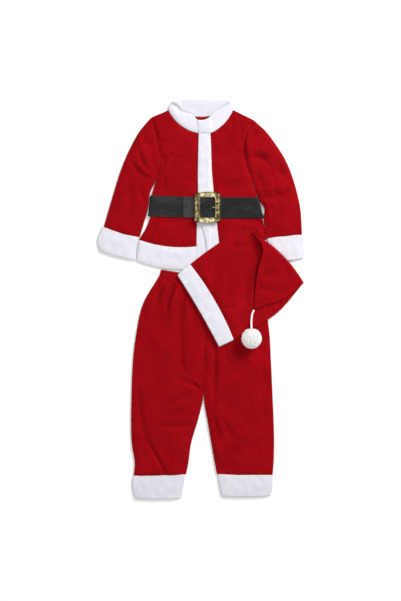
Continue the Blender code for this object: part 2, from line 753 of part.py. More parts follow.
def fold_over(point, base):
    """Turns what lies past the hat's fold line back over the rest."""
    top, end = np.array(FOLD_TOP), np.array(FOLD_END)
    way = (end - top) / np.linalg.norm(end - top)
    out = np.array([-way[1], way[0]])
    flat = np.array(point[:2])
    along, past = float((flat - top) @ way), float((flat - top) @ out)
    middle = base + HAT_HEIGHT / 2
    above = point[2] - middle
    z = point[2]
    beyond = past - FOLD_START
    if beyond > math.pi * FOLD_RADIUS:
        past = FOLD_START - (beyond - math.pi * FOLD_RADIUS)
        z = middle + 2 * FOLD_RADIUS - above
    elif beyond > 0:
        angle = beyond / FOLD_RADIUS
        past = FOLD_START + (FOLD_RADIUS - above) * math.sin(angle)
        z = middle + FOLD_RADIUS - (FOLD_RADIUS - above) * math.cos(angle)
    share = min(max(along / np.linalg.norm(end - top), 0), 1)
    past += FOLD_BOW * 4 * share * (1 - share) * math.exp(-((past / FOLD_BOW_REACH) ** 2))
    x, y = top + way * along + out * past
    return x, y, z


def droop(x):
    """The hat's far corner sinks towards the floor."""
    return 5.0 * smoothstep((x - 258) / 40)


def make_hat():
    half = GAP / 2 + 0.1
    walls = []
    for inset in (0.0, FLEECE):
        grid = []
        for row in sections(HAT_BODY):
            line = []
            for point in ring(row, TUBE_ACROSS, inset, base=HAT_UNDER):
                t = (point[0] - row["right_x"]) / (row["left_x"] - row["right_x"])
                x, y, z = fold_over(point, HAT_UNDER)
                z += row["rise"] * max(1 - t, 0) ** 3 - row["settle"] - droop(x)
                line.append((x, y, z))
            grid.append(line)
        walls.append(draw_in(np.array(grid), first=half)[:, ::-1])
    add_walled("hat_body", *walls, RED, closed_from=0)

    walls = []
    for inset in (0.0, HAT_BAND_WALL):
        grid = np.array([ring(row, TUBE_ACROSS, inset, base=HAT_UNDER) for row in sections(HAT_BAND)])
        walls.append(draw_in(grid, last=half)[:, ::-1])
    add_walled("hat_band", *walls, WHITE, closed_from=0)


def strap_side(rows, side, y):
    """The x of a jacket side edge at a height, between the waist and belt rows."""
    waist = next(row for row in rows if row["section"] == "waist")
    low = next(row for row in rows if row["section"] == "belt")
    share = (y - low[side + "_y"]) / (waist[side + "_y"] - low[side + "_y"])
    return low[side + "_x"] + share * (waist[side + "_x"] - low[side + "_x"])


def make_belt():
    """One strip wound round the jacket: fixed end, front, under the back, front again, tail."""
    wrap = (BELT_FRONT_MID - STRAP / 2) / 2
    lower_stops = (STRAP_FIXED_END, -4, -12, -19, -26, -33, -40, -75, -110)
    upper_stops = (130, 95, 64, 56, 49, 42, 34, 20, 4, -12, -19, -26, -33, -40, STRAP_TAIL_END)
    grid = []

    def add_stop(x_at, z):
        line = []
        for v in (0.5, 0, -0.5):
            x = x_at(BUCKLE_Y + v * BELT_WIDTH)
            y = read(STRAP_CENTRE, "x", "y", x) + v * BELT_WIDTH
            line.append((x, y, z))
        grid.append(line)

    def add_wrap(rows, side, sign, top_first):
        for k in range(7):
            angle = math.pi * (k / 6 if top_first else 1 - k / 6)
            reach = wrap * math.sin(angle)
            z = STRAP / 2 + wrap + wrap * math.cos(angle)
            add_stop(lambda y: strap_side(rows, side, y) + sign * (reach - 0.5), z)

    for x in lower_stops:
        add_stop(lambda y: x, read_straight(STRAP_RISE, "x", "lower", x))
    add_wrap(FRONT_RIGHT, "right", -1, True)
    for x in (-100, -30, 40, 110):
        add_stop(lambda y: x, STRAP / 2)
    add_wrap(FRONT_LEFT, "left", 1, False)
    for x in upper_stops:
        add_stop(lambda y: x, read_straight(STRAP_RISE, "x", "upper", x))
    belt = add_shell("belt_strap", np.array(grid), STRAP, BLACK, offset=0)
    for k, x in enumerate(HOLES):
        y = read(STRAP_CENTRE, "x", "y", x)
        middle = read_straight(STRAP_RISE, "x", "upper", x)
        cut_hole(belt, f"hole_{k}", (x, y, middle), STRAP + GAP)


def cut_hole(obj, name, place, depth):
    mesh = bpy.data.meshes.new(name)
    shape = bmesh.new()
    bmesh.ops.create_cone(
        shape,
        cap_ends=True,
        segments=14,
        radius1=HOLE_DIAMETER / 2 * MM,
        radius2=HOLE_DIAMETER / 2 * MM,
        depth=depth * MM,
    )
    shape.to_mesh(mesh)
    shape.free()
    cutter = add_object(name, mesh, None, "cutters")
    cutter.location = (place[0] * MM, place[1] * MM, place[2] * MM)
    cutter.hide_render = True
    cutter.display_type = "WIRE"
    cut = obj.modifiers.new(name, "BOOLEAN")
    cut.object = cutter
    cut.operation = "DIFFERENCE"


def rounded_corner(centre, radius, start, steps=4):
    return [
        (
            centre[0] + radius * math.cos(start + math.pi / 2 * k / steps),
            centre[1] + radius * math.sin(start + math.pi / 2 * k / steps),
        )
        for k in range(steps + 1)
    ]


def buckle_outline():
    """A rounded rectangle whose top and bottom sides swell between two shallow shoulders."""
    corner, shoulder, steps = 4.0, 26.0, 8
    w, h = BUCKLE_HALF_WIDTH, BUCKLE_HALF_HEIGHT
    swell = []
    for k in range(steps + 1):
        t = k / steps
        rise = (BUCKLE_BULGE + BUCKLE_DIP) * math.sin(math.pi * t) ** 0.5
        swell.append((shoulder * (1 - 2 * t), h - BUCKLE_DIP + rise))
    top = rounded_corner((w - corner, h - corner), corner, 0) + swell
    top += rounded_corner((corner - w, h - corner), corner, math.pi / 2)
    return top + [(-x, -y) for x, y in top]


def window_outline():
    corner = 2.0
    w, h = WINDOW_HALF_WIDTH, WINDOW_HALF_HEIGHT
    points = []
    for k, (sx, sy) in enumerate(((1, 1), (-1, 1), (-1, -1), (1, -1))):
        points += rounded_corner((sx * (w - corner), sy * (h - corner)), corner, math.pi / 2 * k, 2)
    return points


def curve_to_mesh(obj):
    """Turns a curve object into a mesh object of the same name, with its caps welded."""
    name = obj.name
    graph = bpy.context.evaluated_depsgraph_get()
    mesh = bpy.data.meshes.new_from_object(obj.evaluated_get(graph))
    shape = bmesh.new()
    shape.from_mesh(mesh)
    bmesh.ops.remove_doubles(shape, verts=shape.verts, dist=0.00001)
    shape.to_mesh(mesh)
    shape.free()
    place, home = obj.matrix_world.copy(), obj.users_collection[0]
    bpy.data.objects.remove(obj)
    made = bpy.data.objects.new(name, mesh)
    made.matrix_world = place
    home.objects.link(made)
    return made


def make_wire(name, points, diameter, look, collection="santa_suit", resolution=2):
    curve = bpy.data.curves.new(name, "CURVE")
    curve.dimensions = "3D"
    curve.bevel_depth = diameter / 2 * MM
    curve.bevel_resolution = resolution
    curve.use_fill_caps = True
    spline = curve.splines.new("POLY")
    spline.points.add(len(points) - 1)
    for spot, point in zip(spline.points, points):
        spot.co = (point[0] * MM, point[1] * MM, point[2] * MM, 1)
    return add_object(name, curve, look, collection)


def make_buckle():
    bevel = 0.9
    curve = bpy.data.curves.new("buckle_frame", "CURVE")
    curve.dimensions = "2D"
    curve.fill_mode = "BOTH"
    curve.extrude = (BUCKLE_THICK / 2 - bevel) * MM
    curve.bevel_depth = bevel * MM
    curve.bevel_resolution = 1
    curve.offset = -bevel * MM
    for outline in (buckle_outline(), window_outline()):
        spline = curve.splines.new("POLY")
        spline.points.add(len(outline) - 1)
        spline.use_cyclic_u = True
        for spot, (x, y) in zip(spline.points, outline):
            spot.co = (x * MM, y * MM, 0, 1)
    frame = add_object("buckle_frame", curve, None)
    frame.location = (BUCKLE_X * MM, BUCKLE_Y * MM, (BUCKLE_UNDER + BUCKLE_THICK / 2) * MM)
    bpy.context.view_layer.update()
    frame = curve_to_mesh(frame)
    add_material(frame, GOLD)

    bar_z = BELT_OVER_MID
    foot = BUCKLE_UNDER + BUCKLE_THICK / 2
    y_low, y_high = BUCKLE_Y - BAR_REACH, BUCKLE_Y + BAR_REACH
    path = [(BAR_X, y_high, foot), (BAR_X, y_high, bar_z), (BAR_X, y_low, bar_z), (BAR_X, y_low, foot)]
    wire = make_wire("buckle_bar", path, BAR_DIAMETER, None, "cutters")
    bpy.context.view_layer.update()
    wire = curve_to_mesh(wire)
    wire.hide_render = True
    wire.display_type = "WIRE"
    join = frame.modifiers.new("bar", "BOOLEAN")
    join.object = wire
    join.operation = "UNION"


def make_prong():
    y = BUCKLE_Y
    half = PRONG_WIDTH / 2
    grid = np.array([[(row["x"], y + half, row["z"]), (row["x"], y - half, row["z"])] for row in PRONG])
    add_shell("buckle_prong", grid, PRONG_THICK, GOLD, offset=0)


def make_cord():
    keys = [row["y"] for row in CORD_ROUTE]
    route = sorted(CORD_ROUTE, key=lambda row: row["y"])
    steps = 18
    points = []
    for k in range(steps + 1):
        y = keys[0] + (keys[-1] - keys[0]) * k / steps
        points.append((read(route, "y", "x", y), y, read(route, "y", "z", y)))
    make_wire("hat_cord", points, CORD_DIAMETER, YARN)


def make_pompom():
    """A core whose faces are drawn out into locks, bare where the cord comes in."""
    mesh = bpy.data.meshes.new("pompom")
    shape = bmesh.new()
    bmesh.ops.create_icosphere(shape, subdivisions=3, radius=POMPOM_CORE * MM)
    cord_end = np.array([CORD_ROUTE[-1][axis] for axis in "xyz"]) - POMPOM_CENTRE
    cord_way = cord_end / np.linalg.norm(cord_end)

    def bareness(face):
        centre = np.array(face.calc_center_median())
        return float(centre @ cord_way) / np.linalg.norm(centre)

    faces = sorted(shape.faces, key=bareness)[:POMPOM_LOCKS]
    made = bmesh.ops.extrude_discrete_faces(shape, faces=faces)["faces"]
    for k, face in enumerate(made):
        way = face.calc_center_median().normalized()
        length = (POMPOM_RADIUS - 0.6 * (k * 7 % 5)) * MM
        centre = face.calc_center_median()
        for vertex in face.verts:
            vertex.co = way * length + (vertex.co - centre) * 0.55
    shape.to_mesh(mesh)
    shape.free()
    pompom = add_object("pompom", mesh, YARN)
    pompom.location = tuple(value * MM for value in POMPOM_CENTRE)


def clear_scene():
    for obj in list(bpy.data.objects):
        bpy.data.objects.remove(obj)
    for name in ("santa_suit", "cutters"):
        collection = bpy.data.collections.new(name)
        bpy.context.scene.collection.children.link(collection)


def main():
    clear_scene()
    shared = make_fronts()
    back = make_back()
    make_plackets(shared)
    make_collar(shared, back)
    make_sleeves()
    make_legs()
    make_waistband()
    make_hat()
    make_belt()
    make_buckle()
    make_prong()
    make_cord()
    make_pompom()


main()
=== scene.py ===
"""Looks of a child's santa suit laid flat: jacket with its belt, trousers and hat.

Lengths are in millimetres until a mesh is made. +X is the wearer's left, +Y the collar, +Z up.
Right and left are the wearer's, so "right" is the -X side. Each piece of cloth is a thin closed
shell over the section tables of the part's source, with its folds listed one by one.
"""

import json
import math

import bpy
import numpy as np
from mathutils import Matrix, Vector

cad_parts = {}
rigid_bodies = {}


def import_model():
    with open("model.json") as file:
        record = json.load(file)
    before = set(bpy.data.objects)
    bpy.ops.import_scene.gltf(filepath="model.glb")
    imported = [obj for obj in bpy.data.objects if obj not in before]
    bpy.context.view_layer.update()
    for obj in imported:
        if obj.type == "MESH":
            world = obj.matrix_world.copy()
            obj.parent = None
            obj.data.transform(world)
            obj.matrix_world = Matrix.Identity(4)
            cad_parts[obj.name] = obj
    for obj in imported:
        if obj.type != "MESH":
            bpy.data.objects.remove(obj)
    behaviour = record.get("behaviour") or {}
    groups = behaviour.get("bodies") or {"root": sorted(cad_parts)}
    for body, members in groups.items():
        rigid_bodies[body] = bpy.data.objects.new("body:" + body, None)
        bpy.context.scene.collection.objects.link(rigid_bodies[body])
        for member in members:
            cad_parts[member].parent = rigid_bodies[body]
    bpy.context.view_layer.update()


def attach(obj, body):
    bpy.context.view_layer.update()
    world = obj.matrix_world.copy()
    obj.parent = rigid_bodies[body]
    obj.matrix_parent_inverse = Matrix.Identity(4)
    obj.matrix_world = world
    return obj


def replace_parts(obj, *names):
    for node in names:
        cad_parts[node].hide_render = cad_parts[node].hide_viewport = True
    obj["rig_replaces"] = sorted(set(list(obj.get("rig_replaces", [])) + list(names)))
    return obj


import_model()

MM = 0.001

FLEECE = 2.0  # wall of the red fleece
TRIM = 2.5  # wall of the white trim
STRAP = 2.2  # belt strap
GAP = 0.3  # seam and resting gap
PUFF = 2.0  # air between the front and the back of the jacket
SWELL = 1.2  # how far soft cloth stands above its solid
EDGE = 14.0  # width of the rounded side edge of the jacket
HEM_ROUND = 1.6  # width over which the wall of a free edge rounds off
STEP, TRIM_STEP = 3.2, 2.6  # size of a mesh face on the fleece and on the trim

BACK_TOP = FLEECE
FRONT_UNDER = BACK_TOP + GAP + PUFF
FRONT_TOP = FRONT_UNDER + FLEECE
TRIM_TOP = FRONT_UNDER + TRIM
OVER_TOP = TRIM_TOP + GAP + TRIM

BELT_WIDTH = 61.0
BELT_LOW, BELT_HIGH, BELT_FADE = 232.0, 302.0, 20.0
BELT_LIFT = STRAP + GAP
BELT_FRONT_MID = FRONT_TOP + BELT_LIFT + GAP + STRAP / 2
BELT_OVER_MID = OVER_TOP + BELT_LIFT + GAP + STRAP / 2
BELT_LAP = STRAP + GAP
STRAP_CROWN = 0.8
HOLE_DIAMETER = 8.0

BUCKLE_X, BUCKLE_Y = 19.6, 264.6
BUCKLE_HALF_WIDTH, BUCKLE_HALF_HEIGHT, BUCKLE_BULGE = 37.7, 41.5, 4.0
WINDOW_HALF_WIDTH, WINDOW_HALF_HEIGHT = 21.0, 28.3
BUCKLE_UNDER = BELT_OVER_MID + BELT_LAP + STRAP / 2 + GAP
BUCKLE_THICK = 4.4
BAR_X, BAR_DIAMETER, BAR_REACH = 9.4, 2.4, 34.4

HAT_UNDER = OVER_TOP + GAP + 0.2
HAT_HEIGHT = 5.5
HAT_BAND_WALL = 3.0
FOLD_RADIUS = 4.5
FOLD_START = -(FOLD_RADIUS + HAT_HEIGHT / 2)
FOLD_BOW, FOLD_BOW_REACH = 14.0, 50.0
FOLD_TOP, FOLD_END = (148.6, 193.6), (298.0, 47.0)

CORD_DIAMETER = 5.4
POMPOM_CENTRE = (145.7, -112.4, 37.6)
POMPOM_RADIUS = 30.0


def value_of(word):
    return word if word[0].isalpha() else float(word)


def table(columns, text):
    """Rows of a short table, one value for each named column. A short row leaves out the last."""
    names, rows = columns.split(), text.strip().splitlines()
    return [dict(zip(names, map(value_of, row.split()))) for row in rows]


# Sections across a garment, from the collar down: the ends of each, and how far its middle sags.
# A bow rounds the side edge out to the next section, and a corner breaks its smooth run.
PANEL = "section right_x right_y left_x left_y sag"

FRONT_RIGHT = table(PANEL + " right_bow corner", """
neck -94 547 -6.5 480 13 0 1
shoulder -144 526 -5 437 6 -2 1
underarm -115 395 -6 372 3 0 1
chest -129 346 -7 337 1
waist -141 304 -8 304 0
belt -148 231 -10.5 231 0
skirt -161 201 -12 190 5
hem_seam -179 172 -12.3 153 10 0 1
hem -187 113 -12 89 12
""")

FRONT_LEFT = table(PANEL + " left_bow corner", """
neck 28 480 94 548 9 0 1
shoulder 30 437 154 518 5 25 1
underarm 32 372 151 352 -2 0 1
chest 35 337 155 328 0
waist 38 304 160.5 304 0
belt 45 231 178 231 0
skirt 50 190 186 203 2
hem_seam 54 151 190 172 4 0 1
hem 61 89 195 108 3
""")


def back_row(right, left, sag):
    """A section of the back, as wide as both fronts together."""
    ends = {name: value for name, value in right.items() if name.startswith("right")}
    return {**left, **ends, "sag": sag}


BACK_SAG = (19, 8, 0, 0, 0, 0, 10, 21, 22)
BACK = [back_row(*rows) for rows in zip(FRONT_RIGHT, FRONT_LEFT, BACK_SAG)]

# The free right edge of the over placket, down the front.
PLACKET_EDGE = table("y x", """
480 -6.5
317 -8
250 -5
215 3
170 14
89 18
""")
UNDER_PLACKET_LEFT = 24.0
PLACKET_STEP = 6.0  # where the over placket steps up onto the under one

TUBE = PANEL + " height crown"

SLEEVE_RIGHT = table(TUBE, """
armhole -144 526 -115 395 -2 6.3 0
upper -176 488 -122 371 3 6.8 0.6
arm -205 436 -129.8 345 4 7 0.8
elbow -234 366 -147 307 3 7 0.8
forearm -256 295 -152 268 2 7 0.6
wrist -281 209 -177 179 3 7 0.4
""")

SLEEVE_CUFF_RIGHT = table(TUBE, """
seam -284.5 210.1 -178.2 179.4 3 7.6 0.4
middle -299 172 -186 147 1 8 0.8
end -294 142 -189 113 2 7.6 0.4
""")

SLEEVE_LEFT = table(TUBE, """
armhole 151.4 351.6 154.3 518 -25 6.3 0
upper 156.6 324 187 488 -2 6.8 0.6
arm 162 303 217 449 0 7 0.8
elbow 171.5 283 245 404 3 7 0.8
forearm 184 261 268 347 2 7 0.8
lower 182 236 286 277 2 7 0.6
wrist 190.5 175 293.6 186 -2 7 0.4
""")

SLEEVE_CUFF_LEFT = table(TUBE, """
seam 192 175.2 296 186.3 -2 7.6 0.4
middle 195.5 140 299 150 0 8 0.8
end 198.5 110 297.5 118.5 2 7.6 0.4
""")

# `crotch` ends the open centre seam: below it the leg is a closed tube.
LEG_RIGHT = table(TUBE, """
waist -127 57 9.4 47 2.5 7 0
hip -163 -4 12 -10 0 7 0.6
thigh -187 -100 15 -104 0 7 0.8
seat -194 -152 16 -150 0 7 0.8
crotch -198.5 -211 8 -211 0 7 0.8
knee -201 -292 5.5 -292 0 7 0.8
shin -202 -350 -8 -350 0 7 0.8
calf -200 -417 -28 -417 0 7 0.6
ankle -191.5 -480 -37 -480 0 7 0.4
cuff -194.5 -511 -42.5 -507 0 7 0.4
""")

LEG_LEFT = table(TUBE, """
waist 9.4 47 144.4 57 2.5 7 0
hip 12 -10 179 -4 0 7 0.6
thigh 15 -104 199 -100 0 7 0.8
seat 16 -150 202 -152 0 7 0.8
crotch 8 -211 205 -211 0 7 0.8
knee 9 -292 208.5 -292 0 7 0.8
shin 19 -350 211 -350 0 7 0.8
calf 30.5 -417 212.5 -417 0 7 0.6
ankle 41.5 -480 210.5 -480 0 7 0.4
cuff 47 -507 208 -509 0 7 0.4
""")

LEG_CUFF_RIGHT = table(TUBE, """
seam -196 -511.1 -46 -507.1 0 7.6 0.4
middle -198 -541 -51 -541 1 8 0.8
end -191 -576 -57 -575 2 7.6 0.4
""")

LEG_CUFF_LEFT = table(TUBE, """
seam 49 -507 207 -509 0 7.6 0.4
middle 54.5 -540 207 -540 1 8 0.8
end 60 -569 202.5 -568 2 7.6 0.4
""")

WAISTBAND = table(TUBE, """
top -115 86 131 85 12.5 7 0
middle -119 71 136 71 11 7 0
seam -127 57 144.4 57 10 7 0
""")

HAT_BAND = table(TUBE, """
rim -67 70 53 -137 -3 7.2 0.4
middle -50 87 74 -128 -6 8 0.6
seam -31 101 95 -117 -9 7.2 0.4
""")

# The hat body is laid out flat here. What lies past the fold line is turned back over it.
# `settle` lets the turned layer down, `rise` holds up its free right edge.
HAT_BODY = table(TUBE + " settle rise corner", """
seam -31 101 95 -117 -9 5.5 0 0 0
side 27 145 169 -75 -6 5.5 0.6 0 0
crown 85 181 232 -29 -4 5.5 0.6 0 0
fold_start 139 193 292.5 42 0 5.5 0 0 0 1
fold_crest 148.6 193.6 298 47 0 5.5 0 0 1 1
fold_end 167.3 184.9 302.3 52.4 0 5.5 0 0 3 1
turned 200 172 322 78 0 5.5 0 1.8 7
middle 258 181.5 343 106 0 5.5 0.6 2.6 6
lower 302 187 353 132 0 5.5 0.6 2.6 3
point 344 191.5 361.5 163 0 5.5 0 2.6 1
tip 364 192.3 370 183 0 5.5 0 2.6 0
""")

# The free edge of the collar, from its right front end (at 0) over the right neck point (1),
# the back and the left neck point (2) to its left front end (3).
COLLAR = table("at edge_x edge_y", """
0.00 20 518
0.25 -8 519
0.45 -24 534
0.70 -54 546
0.90 -66 562
1.00 -81.5 570
1.06 -73 575.5
1.14 -64 576.5
1.50 0 577
1.86 64 576.5
1.94 74 575.5
2.00 82.5 570.5
2.12 68 565
2.35 48 549
2.60 29 531
2.70 23 525
2.85 7 518.5
3.00 -12 519
""")
COLLAR_NECK = ((-93, 548.8), (93.5, 549.8))  # where the collar folds over, at its seam
COLLAR_FRONT_MID = FRONT_UNDER + TRIM / 2
COLLAR_BACK_MID = TRIM / 2
COLLAR_LAP = TRIM + GAP
COLLAR_LAP_FROM = 2.65  # from here on the left end lies over the right one
COLLAR_QUARTER = 90  # length round the neck from one whole number of `at` to the next
COLLAR_CLEAR = 0.5  # between the collar and its seam
COLLAR_STAND = 7.5  # how far the free edge of the back part stands up
RIGHT_LAP, LEFT_LAP = (-6.5, 480), (28, 480)  # the neck seam's ends, at the over placket

# Height of the strap's middle over the front, from left to right: the lower lap, the upper lap.
STRAP_LOWER = (BELT_FRONT_MID,) * 2 + (BELT_OVER_MID,) * 2 + (BELT_FRONT_MID,) * 2
STRAP_UPPER = tuple(z + BELT_LAP for z in STRAP_LOWER[:4]) + STRAP_LOWER[4:]
STRAP_RISE_X = (-150, -40, -12, 34, 64, 180)
STRAP_CENTRE = table("x y", """
-150 270
-50 266.5
20 264.6
180 264.6
""")
STRAP_FIXED_END = BAR_X - BAR_DIAMETER / 2 - GAP
STRAP_TAIL_END = -51.5
HOLES = (-43.0, -6.3, 30.4)

PRONG = table("x z", """
11.2 13.6
26.8 13.4
29.4 14.7
31.6 17.6
34.5 21
37.5 22.8
41 23.3
50.5 23.2
""")
PRONG_WIDTH, PRONG_THICK = 4.0, 2.0

CORD_ROUTE = table("x y z", """
153.6 -31.0 19.4
150.4 -37.0 19.2
147.6 -47.0 19.1
146.1 -58.0 20.2
145.6 -68.0 23.6
145.7 -77.0 28.8
145.7 -84.5 33.1
145.7 -90.4 36.2
""")

# Flat sizes of what shows of each cut, in mm and cm2: `width` and `length` of the smallest
# rectangle round it (all the way round, on a tube), and the area of the cut itself. Most of them
# are laid, and on the floor.
SHEETS = table("piece width length area rests_on held", """
cloth_back 368 397 1114
cloth_front_right 168 393 480 cloth_back
cloth_front_left 138 392 434 cloth_back
band_hem_back 384 84 239
band_hem_right 177 74 113 band_hem_back
band_hem_left 140 67 88 band_hem_back
band_placket_under 37 391 133 cloth_back
band_placket_over 54 395 171 band_placket_under
band_collar 42 470 172 cloth_back folded
cloth_sleeve_right 284 346 622
cloth_sleeve_left 350 357 680
band_cuff_right 230 72 156
band_cuff_left 214 72 147
cloth_leg_right 424 571 2130
cloth_leg_left 408 568 2064
band_leg_cuff_right 310 70 201
band_leg_cuff_left 318 64 193
cloth_waistband 600 33 190 floor gathered
cloth_hat 512 430 1510 cloth_leg_left folded
band_hat 500 53 258 cloth_leg_right
belt_band 61 733 446 cloth_front_right folded
""")


# Folds, one by one: a soft trough (or ridge, above zero) through three points of a piece.
# `roll` raises a bulge beside it, this share of its height: above zero on its left-hand side.
FOLD = "x1 y1 x2 y2 x3 y3 height width roll"
FOLDS = {}
FOLDS["sleeve_right"] = table(FOLD, """
-177 442 -169 396 -143 364 -4 6 0.3
-204 402 -177 364 -144 343 -3.6 8
-194 417 -170 379 -138 361 3.2 6
-166 502 -162 463 -152 432 -3.6 7
-209 363 -206 295 -202 222 -4.4 14
-166 330 -168 297 -155 270 -5.6 7
-142 516 -133 459 -116 394 4.4 8
""")
FOLDS["front_right"] = table(FOLD, """
-138 525 -136 477 -120 432 -3.2 8
-127 463 -104 455 -75 456 -2.9 7
-117 423 -108 402 -99 386 -4.3 6
-76 411 -89 379 -113 355 -4.3 6 0.3
-107 358 -106 332 -103 306 -2.9 6
-119 241 -135 211 -160 174 -4.6 6 0.4
-127 228 -92 222 -42 225 -2.2 6
-52 258 -47 384 -37 481 1.4 16
""")
FOLDS["front_left"] = table(FOLD, """
114 524 119 456 129 406 -4.6 8
126 434 134 393 148 349 -4.9 6
87 532 90 506 91 480 -2.9 7
109 311 137 329 157 345 -3.8 6
56 348 110 352 149 359 2.3 9
144 237 172 219 188 178 -4.6 6 0.3
44 208 119 216 174 197 2.3 8
""")
FOLDS["sleeve_left"] = table(FOLD, """
138 504 136 442 149 382 5.7 9
138 405 168 410 194 394 -5.7 9 0.3
230 395 230 370 226 347 -3 7
158 289 211 296 273 304 -4.6 10
182 312 220 323 264 334 3 9
175 325 186 274 197 232 3.4 7
162 366 174 326 188 288 -2.7 8
""")
FOLDS["leg_right"] = table(FOLD, """
-68 60 -88 13 -101 -51 -5.9 6 0.3
-54 58 -69 -1 -87 -64 4 7
-82 60 -101 22 -120 -22 3.6 7
-103 60 -118 22 -136 -18 -3.8 6
-44 36 -49 -13 -59 -68 -3.4 7
-68 61 -89 19 -101 -32 -7.1 6 0.4
-72 72 -62 -57 -50 -229 -5 8
-52 42 -41 -34 -33 -125 2.5 9
-88 4 -116 -28 -158 -74 -4.6 7
-119 48 -127 22 -134 -7 -4.2 6
-62 -109 -60 -173 -44 -213 -4.2 7
-26 -245 -11 -256 4 -268 -6.3 6
-71 -230 -34 -242 0 -260 -4.2 6
-16 -260 -48 -285 -101 -305 -5.9 6 0.3
-25 -287 -64 -315 -115 -332 2.9 9
-181 -229 -174 -339 -151 -433 -4.6 9
-160 -397 -127 -459 -97 -513 -5.9 6
-119 -367 -63 -368 -8 -364 -4.2 7
-65 -388 -69 -410 -76 -432 -4.2 6
-43 -338 -71 -412 -91 -486 2.5 12
""")
FOLDS["leg_left"] = table(FOLD, """
35 -112 40 -193 35 -320 -6.1 7 0.2
29 -293 44 -367 59 -435 -4.2 7
59 -464 108 -436 185 -419 -3.8 14
59 -338 78 -376 103 -420 -3.4 9
172 -110 182 -295 186 -481 -2.3 10
119 -204 114 -298 123 -408 1.9 20
""")
FOLDS["hat_base"] = table(FOLD, """
79 157 119 152 150 161 -4.7 8
57 159 38 75 39 -27 -3.2 14
57 -31 76 -27 98 -20 -4.7 6
77 113 53 75 44 35 -2.2 12
130 121 126 46 116 -35 -2.9 12
81 168 117 182 147 186 2.9 6
""")
FOLDS["hat_tip"] = table(FOLD, """
207 144 192 112 177 85 -3.5 7
166 55 194 70 236 89 -4.8 9
162 36 211 24 266 29 -3.2 10
143 181 155 158 172 136 -5.1 6 0.5
169 149 160 89 146 23 2.6 6
234 113 249 76 257 42 -2.2 10
""")
FOLDS["collar"] = table(FOLD, """
-65 572 -64 553 -59 531 -2 6
-100 560 -76 517 -40 486 -0.8 9
53 485 81 529 94 567 -0.8 9
""")

# ---- soft steps and ways


def smooth(x):
    """From 0 at 0 to 1 at 1, level at both ends."""
    x = np.clip(x, 0.0, 1.0)
    return x * x * (3 - 2 * x)


def arch(t):
    """1 in the middle of a span, 0 at its ends."""
    return 4 * t * (1 - t)


def beside(distance, reach):
    """1 at a border, falling to 0 this far inside it."""
    return 1 - np.clip(distance / reach, 0, 1)


def rounded(distance, reach):
    """A quarter circle: 0 at a border, 1 this far inside it."""
    return np.sqrt(np.maximum(1 - beside(distance, reach) ** 2, 0))


def bell(distance, width, power=2):
    """1 at distance 0, fading over this width."""
    return np.exp(-(np.abs(distance / width) ** power))


def stay_above(height, floor, blend=0.7):
    """The height, held softly above a floor."""
    return floor + blend * np.logaddexp(0, (height - floor) / blend)


def spots(*axes):
    """Points from their coordinates."""
    return np.stack(np.broadcast_arrays(*axes), axis=-1)


def least(*values):
    return np.minimum.reduce(np.broadcast_arrays(*values))


def unit(ways):
    return ways / np.maximum(np.linalg.norm(ways, axis=-1, keepdims=True), 1e-9)


def right_of(way):
    """The level way to the right-hand side of a level way."""
    return spots(way[..., 1], -way[..., 0])


def bowed(a, b, bow, t):
    """Points from a to b, bowed to the right-hand side of that direction."""
    a, b = np.asarray(a, float), np.asarray(b, float)
    return a + (b - a) * t + right_of(unit(b - a)) * bow * arch(t)


def turn_axes(x, y, angle):
    """Coordinates along a way at this angle, and across it."""
    cos, sin = math.cos(angle), math.sin(angle)
    return x * cos + y * sin, y * cos - x * sin


# ---- reading the tables


def curve(keys, values, at):
    """A smooth curve through values at rising keys, read at each number of `at`."""
    keys, values, at = (np.asarray(v, float) for v in (keys, values, at))
    slopes = np.gradient(values, keys)
    i = np.clip(np.searchsorted(keys, at, side="right") - 1, 0, len(keys) - 2)
    span = keys[i + 1] - keys[i]
    s = (at - keys[i]) / span
    a, b = (1 + 2 * s) * (1 - s) ** 2, s * (1 - s) ** 2 * span
    c, d = s * s * (3 - 2 * s), s * s * (s - 1) * span
    return a * values[i] + b * slopes[i] + c * values[i + 1] + d * slopes[i + 1]


def read(rows, key, name, at):
    """One column of a table, read smoothly at values of its key column."""
    order = sorted(rows, key=lambda row: row[key])
    keys = [row[key] for row in order]
    return curve(keys, [row[name] for row in order], np.clip(at, keys[0], keys[-1]))


def keys_of(rows):
    """How far down the middle of the cloth each section lies."""
    middle = [[row["right_" + axis] + row["left_" + axis] for axis in "xy"] for row in rows]
    steps = np.linalg.norm(np.diff(np.array(middle) / 2, axis=0), axis=1)
    return np.concatenate([[0], np.cumsum(steps)])


def key_of(rows, section):
    return float(keys_of(rows)[[row["section"] for row in rows].index(section)])


def column(rows, name, at):
    """One column of a section table, smooth between its corner rows."""
    keys, last = keys_of(rows), len(rows) - 1
    values = np.array([row[name] for row in rows], float)
    corners = [i for i in range(last + 1) if i in (0, last) or rows[i].get("corner")]
    made = np.empty_like(at)
    for i, j in zip(corners, corners[1:]):
        pick = (at >= keys[i] - 1e-6) & (at <= keys[j] + 1e-6)
        made[pick] = curve(keys[i : j + 1], values[i : j + 1], at[pick])
    return made


def rails(rows, at):
    """The right and left ends of the cloth at these distances down its middle."""
    keys, made = keys_of(rows), []
    for side in ("right", "left"):
        corners = [(row[side + "_x"], row[side + "_y"]) for row in rows]
        ends = spots(*(column(rows, side + axis, at) for axis in ("_x", "_y")))
        for i, row in enumerate(rows[:-1]):
            bow = row.get(side + "_bow")
            if bow:
                pick = (at >= keys[i]) & (at < keys[i + 1])
                share = (at[pick] - keys[i]) / (keys[i + 1] - keys[i])
                ends[pick] = bowed(corners[i], corners[i + 1], bow, share[:, None])
        made.append(ends)
    return made


# Where the last rows of a mesh lie before its border: its edge rounds off there.
EDGE_STEPS, EDGE_REACH = np.array([0, 0.15, 0.5, 1.1, 1.9]), 3.0


